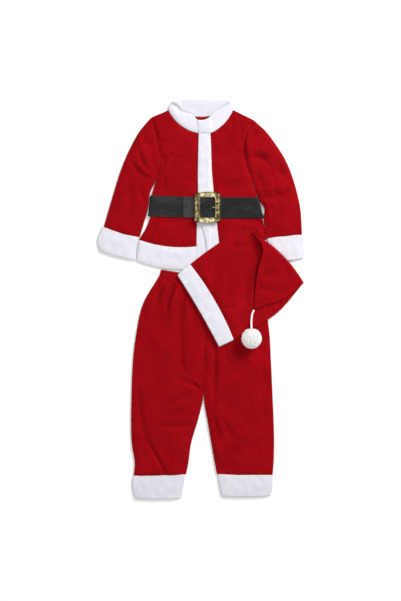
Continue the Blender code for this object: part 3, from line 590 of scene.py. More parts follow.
def steps_across(length, inner):
    """Distances across rows of these lengths, close together at both ends."""
    edge = np.broadcast_to(EDGE_STEPS, (len(length), len(EDGE_STEPS)))
    middle = EDGE_REACH + (length - 2 * EDGE_REACH) * inner
    return np.concatenate([edge, middle, (length - edge)[:, ::-1]], axis=1)


def spread(length, step):
    """Distances along one length, close together at both ends."""
    count = max(int(round((length - 2 * EDGE_REACH) / step)), 1)
    return steps_across(np.array([[length]]), np.linspace(0, 1, count + 1))[0]


def belt_lift(y):
    """How far the strap under the back holds the jacket up."""
    outside = np.maximum(np.maximum(BELT_LOW - y, y - BELT_HIGH), 0)
    return BELT_LIFT * (1 - smooth(outside / BELT_FADE))


def seam_dip(distance, depth=1.2, reach=11.0):
    """A seam pulls the cloth down beside it."""
    return -depth * beside(distance, reach) ** 2


# ---- folds and softness


def fold_height(piece, x, y):
    """Height that the listed folds add at points of a piece."""
    total = np.zeros_like(x)
    pieces, bulge_place, bulge_width, least_bulge = 10, 2.2, 1.5, 0.16
    for row in FOLDS.get(piece, ()):
        a, middle, b = (np.array([row["x" + k], row["y" + k]], float) for k in "123")
        control = 2 * middle - (a + b) / 2
        share = np.linspace(0, 1, pieces + 1)[:, None]
        line = a * (1 - share) ** 2 + control * 2 * share * (1 - share) + b * share**2
        off_line = np.full(x.shape, 1e9)
        along = np.zeros_like(x)
        for k, (start, way) in enumerate(zip(line, np.diff(line, axis=0))):
            dx, dy = x - start[0], y - start[1]
            held = np.clip((dx * way[0] + dy * way[1]) / (way @ way), 0, 1)
            dx, dy = dx - held * way[0], dy - held * way[1]
            distance = np.hypot(dx, dy)
            closer = distance < np.abs(off_line)
            signed = np.where(way[0] * dy < way[1] * dx, -distance, distance)
            off_line = np.where(closer, signed, off_line)
            along = np.where(closer, (k + held) / pieces, along)
        fade = np.sin(math.pi * along) ** 0.9
        width = row["width"] * (0.8 + 0.2 * fade)
        across = bell(off_line, width, 1.5)
        for side in (1, -1):
            bulge = least_bulge + max(side * row.get("roll", 0), 0)
            across -= bulge * bell(off_line - side * bulge_place * width, bulge_width * width)
        total += row["height"] * fade * across
    return total


def creases(x, y, seed, size, depth, lean):
    """Faint long creases, mostly along the direction `lean` (in degrees)."""
    total = np.zeros_like(x)
    for k, aside in enumerate((-38, 24, 3, -16, 47)):
        v, u = turn_axes(x, y, math.radians(lean + aside))
        wander = 0.35 * size * np.sin(v / (1.3 * size) + seed * 2.3 + k * 1.9)
        turns = (u + wander) / (size * (0.8 + 0.17 * k)) * math.pi
        line = np.abs(np.sin(turns + seed + k * 2.7))
        patches = np.sin(v / (1.9 * size) + seed * 1.1 + k * 4.3)
        patches = patches * np.sin(u / (2.7 * size) + k + seed)
        total += (bell(line, 0.32, 1.4) - 0.25) * smooth(0.5 + 0.9 * patches)
    return -depth * total


def softness(x, y, seed, size, depth):
    """Gentle swells, so that no cloth is dead flat: six crossing waves of about this size."""
    total = np.zeros_like(x)
    golden_angle = 2.399963
    for k in range(6):
        wave = size * (0.7 + 0.23 * ((k * 5 + seed * 3) % 7) / 3)
        phase = seed * 4.1 + k * k * 1.3
        u, v = turn_axes(x, y, seed * 1.7 + k * golden_angle)
        wander = 0.9 * np.sin(2 * math.pi * v / (wave * 2.1) + phase)
        total += np.sin(2 * math.pi * u / wave + phase + wander)
    return depth * total / 3


# ---- making meshes


def new_object(name, data):
    obj = bpy.data.objects.new(name, data)
    bpy.context.scene.collection.objects.link(obj)
    return obj


def finish_piece(obj, *nodes, look=None):
    """Gives a piece its look, and says which solids it stands for."""
    if obj.type == "MESH":
        obj.data.shade_smooth()
    slot, material = LOOKS[look or LOOK_OF[obj.name.split("_")[0]]]
    obj.data.materials.append(material)
    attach(obj, "root")
    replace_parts(obj, *nodes)
    return obj


def add_mesh(name, points, faces):
    mesh = bpy.data.meshes.new(name)
    mesh.from_pydata((np.asarray(points).reshape(-1, 3) * MM).tolist(), [], faces)
    mesh.validate()
    return new_object(name, mesh)


def quads_of(index):
    """Faces between neighbours of a grid of point numbers."""
    return np.stack([index[:-1, :-1], index[1:, :-1], index[1:, 1:], index[:-1, 1:]], axis=-1)


def rod_faces(rings, sides):
    """Faces of a closed rod: between its rings, and a cap at each end."""
    index = np.arange(rings * sides).reshape(rings, sides)
    quads = quads_of(np.concatenate([index, index[:, :1]], axis=1))
    return quads[..., ::-1].reshape(-1, 4).tolist() + [index[0, ::-1].tolist(), index[-1].tolist()]


def add_cloth(name, outer, inner, closed_from=None):
    """A closed thin piece between two grids, which meet along their free borders.

    From the row `closed_from` on, the last column is joined to the first, as on a tube."""
    count, width = outer.shape[:2]
    open_rows = count if closed_from is None else closed_from
    meet = np.zeros((count, width), bool)
    meet[[0, -1]] = True
    if open_rows:
        meet[: open_rows + 1, [0, -1]] = True
    upper = np.arange(count * width).reshape(count, width)
    lower = upper.copy()
    lower[~meet] = count * width + np.arange(int((~meet).sum()))
    points = np.concatenate([outer.reshape(-1, 3), inner[~meet]])
    points[upper[meet]] = (outer[meet] + inner[meet]) / 2
    faces = []
    for index, way in ((upper, 1), (lower, -1)):
        quads = quads_of(np.concatenate([index, index[:, :1]], axis=1))
        keep = np.ones(quads.shape[:2], bool)
        keep[: min(open_rows, count - 1), -1] = False
        faces += quads[keep][:, ::way].tolist()
    return add_mesh(name, points, faces)


def add_sheet(name, middle, half):
    """A sheet of cloth about a middle surface, `half` its wall to either side."""
    normal = unit(np.cross(np.gradient(middle, axis=0), np.gradient(middle, axis=1)))
    offset = normal * half[..., None]
    return add_cloth(name, middle + offset, middle - offset)


def add_wire(name, points, diameter, resolution, node):
    data = bpy.data.curves.new(name, "CURVE")
    data.dimensions = "3D"
    data.bevel_depth = diameter / 2 * MM
    data.bevel_resolution = resolution
    data.use_fill_caps = True
    spline = data.splines.new("POLY")
    spline.points.add(len(points) - 1)
    for spot, point in zip(spline.points, np.array(points) * MM):
        spot.co = (*point, 1)
    return finish_piece(new_object(name, data), node)


def meet_seams(rail):
    """Takes a rail's ends 0.3 mm further, so that the cloth meets its neighbour in the seam."""
    rail[0] += (rail[0] - rail[1]) * 2
    rail[-1] += (rail[-1] - rail[-2]) * 2


class Panel:
    """Level points of a sheet between two rails, with their distances to its borders."""

    def __init__(self, right, left, down, sag, step, inset):
        length = np.linalg.norm(left - right, axis=1, keepdims=True) - 2 * inset
        inner = np.linspace(0, 1, max(int(round(length.mean() / step)), 2) + 1)
        self.right = steps_across(length, inner)
        self.left = length - self.right
        self.first = np.broadcast_to(down[:, None], self.right.shape)
        self.last = down[-1] - self.first
        t = (self.right + inset) / (length + 2 * inset)
        points = bowed(right[:, None], left[:, None], sag[:, None, None], t[..., None])
        self.x, self.y = points[..., 0], points[..., 1]

    def edge(self):
        return least(self.first, self.last, self.right, self.left)

    def sheet(self, name, node, top, wall, reach=HEM_ROUND):
        """A sheet whose top lies at these heights. Its wall rounds off all round."""
        middle = spots(self.x, self.y, top - wall / 2)
        finish_piece(add_sheet(name, middle, wall / 2 * rounded(self.edge(), reach)), node)


def panel_of(rows, first, last, step, inset=0.0):
    """The panel between two sections of a table. Below zero, `inset` closes its seams."""
    start, end = key_of(rows, first) + max(inset, 0), key_of(rows, last) - max(inset, 0)
    down = spread(end - start, step)
    right, left = rails(rows, start + down)
    if inset < 0:
        meet_seams(right)
        meet_seams(left)
    return Panel(right, left, down, column(rows, "sag", start + down), step, inset)


class Tube:
    """Loops round a flattened tube of cloth, in front and behind, from a section table.

    On its open side it is two layers, from its first row down to the row `crotch`."""

    RIM = 10  # points round each side edge
    OPEN_FADE = 30  # length over which the layers close to a tube
    ROOM = 0.2  # the two layers stay this far apart, and a wall more
    LIP_REACH = 0.25  # how far an open edge reaches past its rail
    LIPS = (0.9, 0.5)  # how far the upper and the lower layer bend to each other at an open edge

    def __init__(self, rows, step, wall, base=0.0, open_side=None):
        self.down = spread(keys_of(rows)[-1], step)
        self.wall, self.base, self.open_side = wall, base, open_side
        self.ends = rails(rows, self.down)
        for rail in self.ends:
            meet_seams(rail)
        for name in ("height", "crown", "sag", "settle", "rise"):
            if name in rows[0]:
                setattr(self, name, column(rows, name, self.down)[:, None])
        self.length = np.linalg.norm(self.ends[1] - self.ends[0], axis=1, keepdims=True)
        self.count = max(int(round(self.length.mean() / step)), 3)
        self.ways = []
        for rail, other in (self.ends, self.ends[::-1]):
            way = right_of(np.gradient(rail, axis=0))
            self.ways.append(unit(way * np.sign((way * (other - rail)).sum(axis=1, keepdims=True))))
        self.open = np.zeros_like(self.height)
        self.closed_from = 0
        if open_side:
            depth = key_of(rows, "crotch")
            self.open = 1 - smooth((self.down[:, None] - depth) / self.OPEN_FADE)
            self.closed_from = int(np.searchsorted(self.down, depth))

    def rim(self, side, inset, high, low):
        """Points round a side edge (0 right, 1 left), between the heights of both layers."""
        radius = self.height / 2
        end, way = self.ends[side], self.ways[side]
        middle, half = (high + low) / 2, (high - low) / 2
        points = []
        for k in range(self.RIM):
            angle = math.pi * (k + 0.5) / self.RIM + (0 if side else math.pi)
            spot = end + way * (radius - (radius - inset) * abs(math.sin(angle)))
            z = middle + half * math.cos(angle)
            if self.open_side == ("right", "left")[side]:
                first_half = k < self.RIM / 2
                out = (k + 1 if first_half else self.RIM - k) / (self.RIM / 2)
                flat_spot = end + way * (radius * (1 - out) - self.LIP_REACH * out)
                flat_z = high - self.LIPS[0] * out**2
                if first_half != bool(side):
                    flat_z = low + self.LIPS[1] * out**2
                spot = spot + (flat_spot - spot) * self.open
                z = z + (flat_z - z) * self.open
            points.append(np.concatenate([spot, z], axis=1))
        return np.stack(points, axis=1)

    def loops(self, inset, top, under):
        """Points round the tube, this far inside its outer face (one number for each row)."""
        radius = self.height / 2
        share = np.linspace(0, 1, self.count + 1)
        t = (radius + (self.length - 2 * radius) * share) / self.length
        right, left = (rail[:, None] for rail in self.ends)
        path = bowed(right, left, self.sag[..., None], t[..., None])
        x, y = path[..., 0], path[..., 1]
        soft = smooth(np.minimum(share, 1 - share) * (self.length / 12))
        if self.open_side:
            open_half = share > 0.5 if self.open_side == "left" else share < 0.5
            soft = np.where(open_half, np.maximum(soft, self.open), soft)
        upper = self.base + (self.height - inset) + self.crown * arch(t)
        lower = np.full_like(upper, self.base) + inset
        if top:
            upper = upper + top(x, y, self.down[:, None], t) * soft
        if under:
            lower = lower + under(x, y, self.down[:, None], t) * soft
        upper = stay_above(upper, lower + self.wall + self.ROOM)
        left_rim = self.rim(1, inset, upper[:, -1:], lower[:, -1:])
        right_rim = self.rim(0, inset, upper[:, :1], lower[:, :1])
        layers = [spots(x, y, upper), left_rim, spots(x, y, lower)[:, ::-1], right_rim]
        start = {"left": self.count + 1 + self.RIM // 2, "right": -(self.RIM // 2)}
        return np.roll(np.concatenate(layers, axis=1), -start.get(self.open_side, 0), axis=1)

    def add(self, name, node, top=None, under=None, bend=None):
        border = least(self.down, self.down[-1] - self.down)
        half = self.wall / 2 * rounded(border, HEM_ROUND)[:, None]
        outer, inner = (self.loops(self.wall / 2 + side * half, top, under) for side in (-1, 1))
        if bend:
            outer, inner = bend(outer), bend(inner)
        finish_piece(add_cloth(name, outer, inner, self.closed_from), node)


# ---- materials


def set_inputs(node, inputs):
    """Gives a node's inputs their values, or links them to other nodes."""
    for name, value in inputs.items():
        if isinstance(value, bpy.types.NodeSocket):
            node.id_data.links.new(value, node.inputs[name])
        else:
            node.inputs[name].default_value = value


def add_node(tree, kind, inputs=None, **settings):
    node = tree.nodes.new(kind)
    for name, value in settings.items():
        setattr(node, name, value)
    set_inputs(node, inputs or {})
    return node


def noise(where, scale, detail=2.0, roughness=0.5):
    inputs = {"Vector": where, "Scale": scale, "Detail": detail, "Roughness": roughness}
    return add_node(where.id_data, "ShaderNodeTexNoise", inputs).outputs["Fac"]


def stretch(where, x, y=1):
    """Places for a texture that is drawn out along the axes with a share below 1."""
    inputs = {"Vector": where, "Scale": (x, y, 1)}
    return add_node(where.id_data, "ShaderNodeMapping", inputs).outputs["Vector"]


def across_of(where):
    return add_node(where.id_data, "ShaderNodeSeparateXYZ", {"Vector": where}).outputs["X"]


def blend_colour(share, low, high, first, second):
    """From one colour to another as a share rises from low to high."""
    tree, inputs = share.id_data, {"Value": share, "From Min": low, "From Max": high}
    held = add_node(tree, "ShaderNodeMapRange", inputs, interpolation_type="SMOOTHSTEP")
    inputs = {"Factor": held.outputs["Result"]}
    for socket, colour in ((6, first), (7, second)):  # its colours, A and B
        inputs[socket] = colour if isinstance(colour, bpy.types.NodeSocket) else (*colour, 1)
    return add_node(tree, "ShaderNodeMix", inputs, data_type="RGBA").outputs[2]


def bump(height, strength, distance, normal=None):
    inputs = {"Height": height, "Strength": strength, "Distance": distance * MM}
    if normal:
        inputs["Normal"] = normal
    return add_node(height.id_data, "ShaderNodeBump", inputs).outputs["Normal"]


def new_material(name):
    """A node material, and the place on the object that its textures read."""
    made = bpy.data.materials.new(name)
    made.use_nodes = True
    return made, add_node(made.node_tree, "ShaderNodeTexCoord").outputs["Object"]


def shade(made, colour, normal, roughness, **inputs):
    """Sets the material's shader. An underscore stands for the space in an input's name."""
    named = {name.replace("_", " "): value for name, value in inputs.items()}
    named.update({"Base Color": colour, "Normal": normal, "Roughness": roughness})
    set_inputs(made.node_tree.nodes["Principled BSDF"], named)
    return made


def fleece(name, dark, light, pile_size, pile_depth, sheen, tint, between):
    """A brushed pile: the colour drifts over the cloth, along its nap and between its tufts."""
    made, where = new_material(name)
    broad = noise(where, 14, 3)
    nap = noise(stretch(where, 1, 0.4), 210, 3, 0.6)
    tufts = noise(where, pile_size)
    deep = tuple(value * between for value in dark)
    base = blend_colour(broad, 0.25, 0.75, dark, light)
    brushed = blend_colour(nap, 0.25, 0.6, deep, base)
    fine = bump(noise(where, pile_size * 2.6), 0.5, pile_depth * 0.5)
    return shade(
        made,
        blend_colour(tufts, 0.15, 0.55, deep, brushed),
        bump(tufts, 0.6, pile_depth, fine),
        0.95,
        Specular_IOR_Level=0.06,
        Sheen_Weight=sheen,
        Sheen_Roughness=0.45,
        Sheen_Tint=(*tint, 1),
    )


def leather():
    """Black leather with streaks along it, lighter patches of painted sheen along it too, and a
    painted highlight past the tail's end.
    """
    tail_end, highlight_fade = (-0.0507, -0.0502), (-0.036, -0.015)  # along the belt, in metres
    black, dark_grey = (0.0012, 0.0013, 0.0014), (0.006, 0.0065, 0.007)
    grey, highlight_grey, pale = (0.017, 0.018, 0.019), (0.022, 0.024, 0.025), (0.035, 0.037, 0.039)
    made, where = new_material("belt_leather")
    streaks = noise(stretch(where, 0.18), 150, 4, 0.6)
    patches = noise(stretch(where, 0.4), 34)
    along = across_of(where)
    colour = blend_colour(streaks, 0.35, 0.75, black, dark_grey)
    # Lighter grey patches along the strap: painted sheen.
    colour = blend_colour(patches, 0.45, 0.7, colour, grey)
    # Past the tail's end, towards the buckle, a lighter grey: a painted highlight where the strap
    # rises.
    painted_highlight = blend_colour(streaks, 0.3, 0.7, highlight_grey, pale)
    painted_highlight = blend_colour(along, *highlight_fade, painted_highlight, colour)
    colour = blend_colour(along, *tail_end, colour, painted_highlight)
    grain = bump(noise(where, 900, 3), 0.35, 0.2, bump(streaks, 0.3, 0.5))
    return shade(made, colour, grain, 0.45, Specular_IOR_Level=0.3)


def gold():
    """Lit and shaded copies of one gold: bright along the buckle's middle with a painted
    reflection, duller down its sides with painted shade.
    """
    brown, yellow = (0.30, 0.25, 0.12), (0.68, 0.60, 0.36)
    shaded_brown, shaded_ochre = (0.10, 0.08, 0.035), (0.40, 0.33, 0.17)
    shade_from, shade_to = 0.018, 0.026  # metres to either side of the buckle's middle
    made, where = new_material("buckle_gold")
    wear = noise(where, 120, 3)
    lit_gold = blend_colour(wear, 0.35, 0.7, brown, yellow)
    shaded_gold = blend_colour(wear, 0.4, 0.7, shaded_brown, shaded_ochre)
    aside = across_of(where)
    for operation, inputs in (("SUBTRACT", {1: BUCKLE_X * MM}), ("ABSOLUTE", {})):
        inputs = {0: aside, **inputs}
        aside = add_node(where.id_data, "ShaderNodeMath", inputs, operation=operation).outputs[0]
    # Painted reflection on the top and bottom bars, painted shade on the side bars.
    colour = blend_colour(aside, shade_from, shade_to, lit_gold, shaded_gold)
    return shade(made, colour, bump(noise(where, 420), 0.3, 0.25), 0.4, Metallic=1.0)


def yarn():
    made, where = new_material("white_yarn_pile")
    strands = noise(where, 500)
    return shade(
        made,
        blend_colour(strands, 0.3, 0.6, (0.90, 0.89, 0.87), (0.96, 0.95, 0.93)),
        bump(strands, 0.5, 0.4),
        0.9,
        Specular_IOR_Level=0.1,
        Subsurface_Weight=0.6,
        Subsurface_Radius=(0.006, 0.006, 0.006),
        Subsurface_Scale=1.0,
        Sheen_Weight=0.4,
        # The yarn glows faintly: painted light that lifts the shade among its locks.
        Emission_Color=(0.97, 0.97, 1, 1),
        Emission_Strength=0.1,
    )


RED = ((0.276, 0.0011, 0.004), (0.345, 0.002, 0.0065))
WHITE = ((0.71, 0.70, 0.76), (0.76, 0.75, 0.81))
LOOKS = {  # the slot and the material of each look
    "red": ("red_fleece", fleece("red_pile", *RED, 620, 0.4, 0.06, (1, 0.3, 0.35), between=0.9)),
    "white": ("white_fleece", fleece("white_pile", *WHITE, 520, 0.5, 0.1, (1, 1, 1), between=0.95)),
    "black": ("black_strap", leather()),
    "gold": ("gold_buckle", gold()),
    "yarn": ("white_yarn", yarn()),
}
LOOK_OF = {  # by how the name of a piece begins
    "cloth": "red",
    "band": "white",
    "metal": "gold",
    "cord": "yarn",
    "yarn": "yarn",
}


# ---- jacket


def plump(panel, height=1.6):
    """The trim's pile stands fullest along the middle of the band."""
    edge = panel.edge()
    full = height * (1 - beside(edge, 16) ** 2)
    return full + softness(panel.x, panel.y, seed=5, size=34, depth=0.45) * smooth(edge / 8)


def make_front(side, rows, seed, lean):
    """A front and its hem. The side edge comes down to the back, except along the armhole."""
    fade = 22  # over which the cloth comes to its full swell
    panel = panel_of(rows, "neck", "hem_seam", STEP, -0.2)
    x, y, outside = panel.x, panel.y, getattr(panel, side)
    inside = panel.left if side == "right" else panel.right
    open_from, open_to = key_of(rows, "shoulder"), key_of(rows, "underarm")
    lie = smooth((panel.first - open_from) / fade) * smooth((open_to - panel.first) / fade)
    free = 1 - belt_lift(y) / BELT_LIFT
    soft = softness(x, y, seed, size=88, depth=1.3) + 1.8 * SWELL * free
    soft += creases(x, y, seed, size=46, depth=0.8, lean=lean) * (0.3 + 0.7 * free)
    top = FRONT_TOP - PUFF * (1 - np.maximum(lie, rounded(outside, EDGE))) + belt_lift(y)
    top += fold_height("front_" + side, x, y) + soft * smooth(panel.edge() / fade)
    top += seam_dip(outside) * lie
    top += seam_dip(inside) + seam_dip(panel.last) + seam_dip(panel.first)
    top = stay_above(top, BACK_TOP + GAP + FLEECE)
    panel.sheet("cloth_front_" + side, "jacket_front_" + side, top, FLEECE, reach=1.0)
    hem = panel_of(rows, "hem_seam", "hem", TRIM_STEP)
    top = TRIM_TOP - PUFF * (1 - rounded(getattr(hem, side), EDGE)) + plump(hem)
    hem.sheet("band_hem_" + side, "hem_front_" + side, top, TRIM)


def make_back():
    panel = panel_of(BACK, "neck", "hem_seam", STEP * 1.4)
    panel.sheet("cloth_back", "jacket_back", belt_lift(panel.y) + FLEECE, FLEECE)
    hem = panel_of(BACK, "hem_seam", "hem", STEP)
    hem.sheet("band_hem_back", "hem_back", belt_lift(hem.y) + FLEECE, FLEECE)


def make_placket(name, rows, seam_side):
    end_gap = 0.2
    down = spread(key_of(rows, "hem") - 2 * end_gap, TRIM_STEP)
    seam = rails(rows, end_gap + down)[("right", "left").index(seam_side)]
    y = seam[:, 1]
    if name == "under":
        right, left = seam, spots(UNDER_PLACKET_LEFT, y)
    else:
        right, left = spots(read(PLACKET_EDGE, "y", "x", y), y), seam
    panel = Panel(right, left, down, 0 * down, TRIM_STEP, GAP / 2)
    lift = belt_lift(panel.y)
    top = TRIM_TOP + lift
    if name == "over":
        foot = UNDER_PLACKET_LEFT + 0.8
        width = np.minimum(PLACKET_STEP, (panel.x[:, -1:] - foot) / 2)
        top += (OVER_TOP - TRIM_TOP) * (1 - smooth((panel.x - foot) / width))
        top += plump(panel, height=1.0) * (1 - lift / BELT_LIFT)
    panel.sheet("band_placket_" + name, "placket_" + name, top, TRIM)


def neck_seam(at):
    """Where the collar is sewn on: from its right front end (0) round the back to the left (3)."""
    lap, over, quarter = 0.25, 2.7, 0.75  # where the right front's seam begins, the left's ends

    def along(a, b, sag, t):
        return bowed(a, b, sag, np.clip(t, 0, 1)[:, None])

    def neck(row, t):
        right, left = ((row[side + "_x"], row[side + "_y"]) for side in ("right", "left"))
        return along(right, left, row["sag"], t)

    made = along((UNDER_PLACKET_LEFT - 3, 480), RIGHT_LAP, 0, at / lap)
    for start, part in (
        (lap, neck(FRONT_RIGHT[0], 1 - (at - lap) / quarter)),
        (1, neck(BACK[0], at - 1)),
        (2, neck(FRONT_LEFT[0], 1 - (at - 2) / (over - 2))),
        (over, along(LEFT_LAP, RIGHT_LAP, 0, (at - over) / (3 - over))),
    ):
        made = np.where((at > start)[:, None], part, made)
    return made


def collar_stops():
    """The collar's cross rows: how far round the neck each lies, and how far it is turned over."""
    inner = np.linspace(EDGE_REACH / COLLAR_QUARTER, 1, 48)
    run = np.concatenate([EDGE_STEPS / COLLAR_QUARTER, inner])
    turn = np.linspace(0, 1, 9)
    round_back = np.linspace(1.02, 1.98, 60)
    at = [run, np.ones(8), round_back, np.full(9, 2.0), (3 - run)[::-1][1:]]
    turned = [0 * run, turn[1:], 0 * round_back + 1, turn[::-1], 0 * run[1:]]
    return np.concatenate(at), np.concatenate(turned) * math.pi


def make_collar():
    """One band round the neck, folded at both neck points and laid down."""
    middle = (COLLAR_FRONT_MID + COLLAR_BACK_MID) / 2
    turn = (COLLAR_FRONT_MID - COLLAR_BACK_MID) / 2
    at, turned = collar_stops()
    seam = neck_seam(at)
    seam[at == 1.0], seam[at == 2.0] = COLLAR_NECK
    edge = spots(read(COLLAR, "at", "edge_x", at), read(COLLAR, "at", "edge_y", at))
    way = unit(edge - seam)
    reach = np.linalg.norm(edge - seam, axis=1, keepdims=True) - COLLAR_CLEAR
    across = steps_across(reach, np.linspace(0, 1, 13))
    at, turned = at[:, None], turned[:, None]
    flat = seam[:, None] + way[:, None] * (COLLAR_CLEAR + across)[..., None]
    x, y = flat[..., 0], flat[..., 1]
    border = least(across, reach - across, COLLAR_QUARTER * at, COLLAR_QUARTER * (3 - at))
    half = TRIM / 2 * rounded(border, HEM_ROUND)
    out = right_of(way) * np.where(at < 1.5, -1, 1)
    front, back = np.cos(turned / 2) ** 2, np.sin(turned / 2) ** 2

    # The front part is plump. It sinks beside the turn, and its left end lies over its right.
    full = 2.2 * (1 - beside(border, 14) ** 2) + fold_height("collar", x, y)
    near_turn = smooth(1 - np.minimum(np.abs(at - 1), np.abs(at - 2)) / 0.65)
    lift = COLLAR_LAP * smooth((at - COLLAR_LAP_FROM + 0.05) / 0.1)
    lift = lift - 2.9 * near_turn * front * beside(reach - across, 26) ** 2

    # The back part rises behind the front's free edge, and its own free edge stands up.
    lift = lift + COLLAR_STAND * across / reach * back
    front_edge = sorted((row["edge_x"], row["edge_y"]) for row in COLLAR if not 1 < row["at"] < 2)
    above = y - np.interp(x, *zip(*front_edge))
    rise = 2.2 + smooth((-54 - x) / 12)
    rise = rise * smooth((above + 4) / 5) * (1 - smooth(above / 26)) + 1.2 * smooth(border / 12)
    walls = []
    for radius in (turn + half + full * front, turn - half - rise * back):
        spot = flat + out[:, None] * (radius * np.sin(turned))[..., None]
        z = middle + radius * np.cos(turned) + lift
        walls.append(np.concatenate([spot, z[..., None]], axis=-1)[::-1])
    finish_piece(add_cloth("band_collar", *walls), "collar")


def make_cuff(name, rows, node, swell=1.6, wall=TRIM, base=0.0, bend=None):
    """A band round a sleeve, a leg or the hat, fullest along its middle."""

    def top(x, y, down, t):
        return swell * (1 - (2 * t - 1) ** 4) + softness(x, y, seed=7, size=36, depth=0.5)

    Tube(rows, TRIM_STEP, wall, base).add("band_" + name, node, top, bend=bend)


def make_sleeve(side, rows, seed, lean):
    name = "sleeve_" + side
    end = key_of(rows, "wrist")

    def top(x, y, down, t):
        soft = softness(x, y, seed, size=80, depth=1.5) + 3.2 * SWELL * arch(t) ** 0.8
        soft = (soft + creases(x, y, seed, size=42, depth=1.0, lean=lean)) * smooth(down / 24)
        return fold_height(name, x, y) + soft + seam_dip(down) + seam_dip(end - down)

    Tube(rows, STEP, FLEECE).add("cloth_" + name, name, top)


# ---- trousers


def gather(along, down):
    """Gathers of the elastic: rounded pleats with sharp valleys, the finer ones fading first."""
    fine_pleats, broad_pleats, longest = 56, 31, 54
    wander = 1.3 * np.sin(9 * along) + 0.8 * np.sin(23 * along + 1)
    fine = np.abs(np.sin((fine_pleats * along + wander) * math.pi / 2)) ** 0.7
    broad = np.abs(np.sin((broad_pleats * along + wander) * math.pi / 2)) ** 0.8
    long = longest * (0.55 + 0.45 * np.sin(24 * along + 2) ** 2)
    made = 1.5 * fine * bell(down, 14, 1.4) + 2.8 * broad * bell(down, long, 1.4)
    return made - 1.8 * bell(down, 20, 1)


def make_leg(side, rows, seed, crease_depth, lean):
    """A leg. The hat keeps its top flat, and the centre seam pulls its inner side down."""
    end = key_of(rows, "cuff")
    waist_right, waist_left = WAISTBAND[-1]["right_x"], WAISTBAND[-1]["left_x"]
    hat_right, hat_low, width = -95, -115, 205  # the hat's reach on the legs, and a leg's width

    def top(x, y, down, t):
        inner = (1 - t if side == "right" else t) * width
        soft = softness(x, y, seed, size=105, depth=1.8) + 3.8 * SWELL * arch(t) ** 0.7
        soft += creases(x, y, seed, size=64, depth=crease_depth, lean=lean)
        under_hat = (1 - smooth((hat_low - y) / 50)) * smooth((x - hat_right) / 40)
        soft *= smooth((down + 8) / 34) * (1 - 0.8 * under_hat)
        folds = fold_height("leg_" + side, x, y) * smooth((down + 2) / 18)
        gathers = gather((x - waist_right) / (waist_left - waist_right), down)
        seams = seam_dip(end - down) + seam_dip(inner, depth=2.4, reach=17)
        return folds + soft + gathers + seams

    tube = Tube(rows, STEP, FLEECE, open_side="left" if side == "right" else "right")
    tube.add("cloth_leg_" + side, "trouser_leg_" + side, top)


def make_waistband():
    """The elastic's casing, with a stitch line near either edge."""
    stitch_lines, stitch_width, width = (8, 20), 1.6, 29

    def top(x, y, down, t):
        stitched = sum(bell(down - line, stitch_width) for line in stitch_lines)
        bulge = 1.2 * np.sin(math.pi * np.clip(down / width, 0, 1))
        return gather(t, 0 * down) * (1 - 0.35 * stitched) + bulge - 0.9 * stitched

    Tube(WAISTBAND, step=1.7, wall=FLEECE).add("cloth_waistband", "waistband", top)


# ---- hat


def fold_over(grid):
    """Turns what lies past the hat's fold line back over the rest."""
    top, way = np.array(FOLD_TOP), unit(np.array(FOLD_END) - FOLD_TOP)
    out = -right_of(way)
    along, past = (grid[..., :2] - top) @ way, (grid[..., :2] - top) @ out
    middle = HAT_UNDER + HAT_HEIGHT / 2
    above = grid[..., 2] - middle
    beyond = past - FOLD_START
    angle = np.clip(beyond / FOLD_RADIUS, 0, math.pi)
    turned = beyond > math.pi * FOLD_RADIUS
    bent_z = middle + FOLD_RADIUS - (FOLD_RADIUS - above) * np.cos(angle)
    z = np.where(beyond > 0, bent_z, grid[..., 2])
    z = np.where(turned, middle + 2 * FOLD_RADIUS - above, z)
    past = np.where(beyond > 0, FOLD_START + (FOLD_RADIUS - above) * np.sin(angle), past)
    past = np.where(turned, FOLD_START - (beyond - math.pi * FOLD_RADIUS), past)
    share = np.clip(along / np.linalg.norm(np.subtract(FOLD_END, FOLD_TOP)), 0, 1)
    past = past + FOLD_BOW * arch(share) * bell(past, FOLD_BOW_REACH)
    flat = top + way * along[..., None] + out * past[..., None]
    return np.concatenate([flat, z[..., None]], axis=-1), turned


# The free right edge of the hat's turned layer, as it lies.
HAT_EDGE = table("y x", """
190 160
183 167
146 182
85 167
-2 156
-20 155
""")


def turn_round(grid):
    """The hat's sections run the other way round, so its loops do too."""
    return grid[:, ::-1]


def lay_out(x, y):
    """Where points of the flat hat come to lie, and which of them are turned over."""
    grid, turned = fold_over(spots(x, y, HAT_UNDER + HAT_HEIGHT))
    return grid[..., 0], grid[..., 1], turned


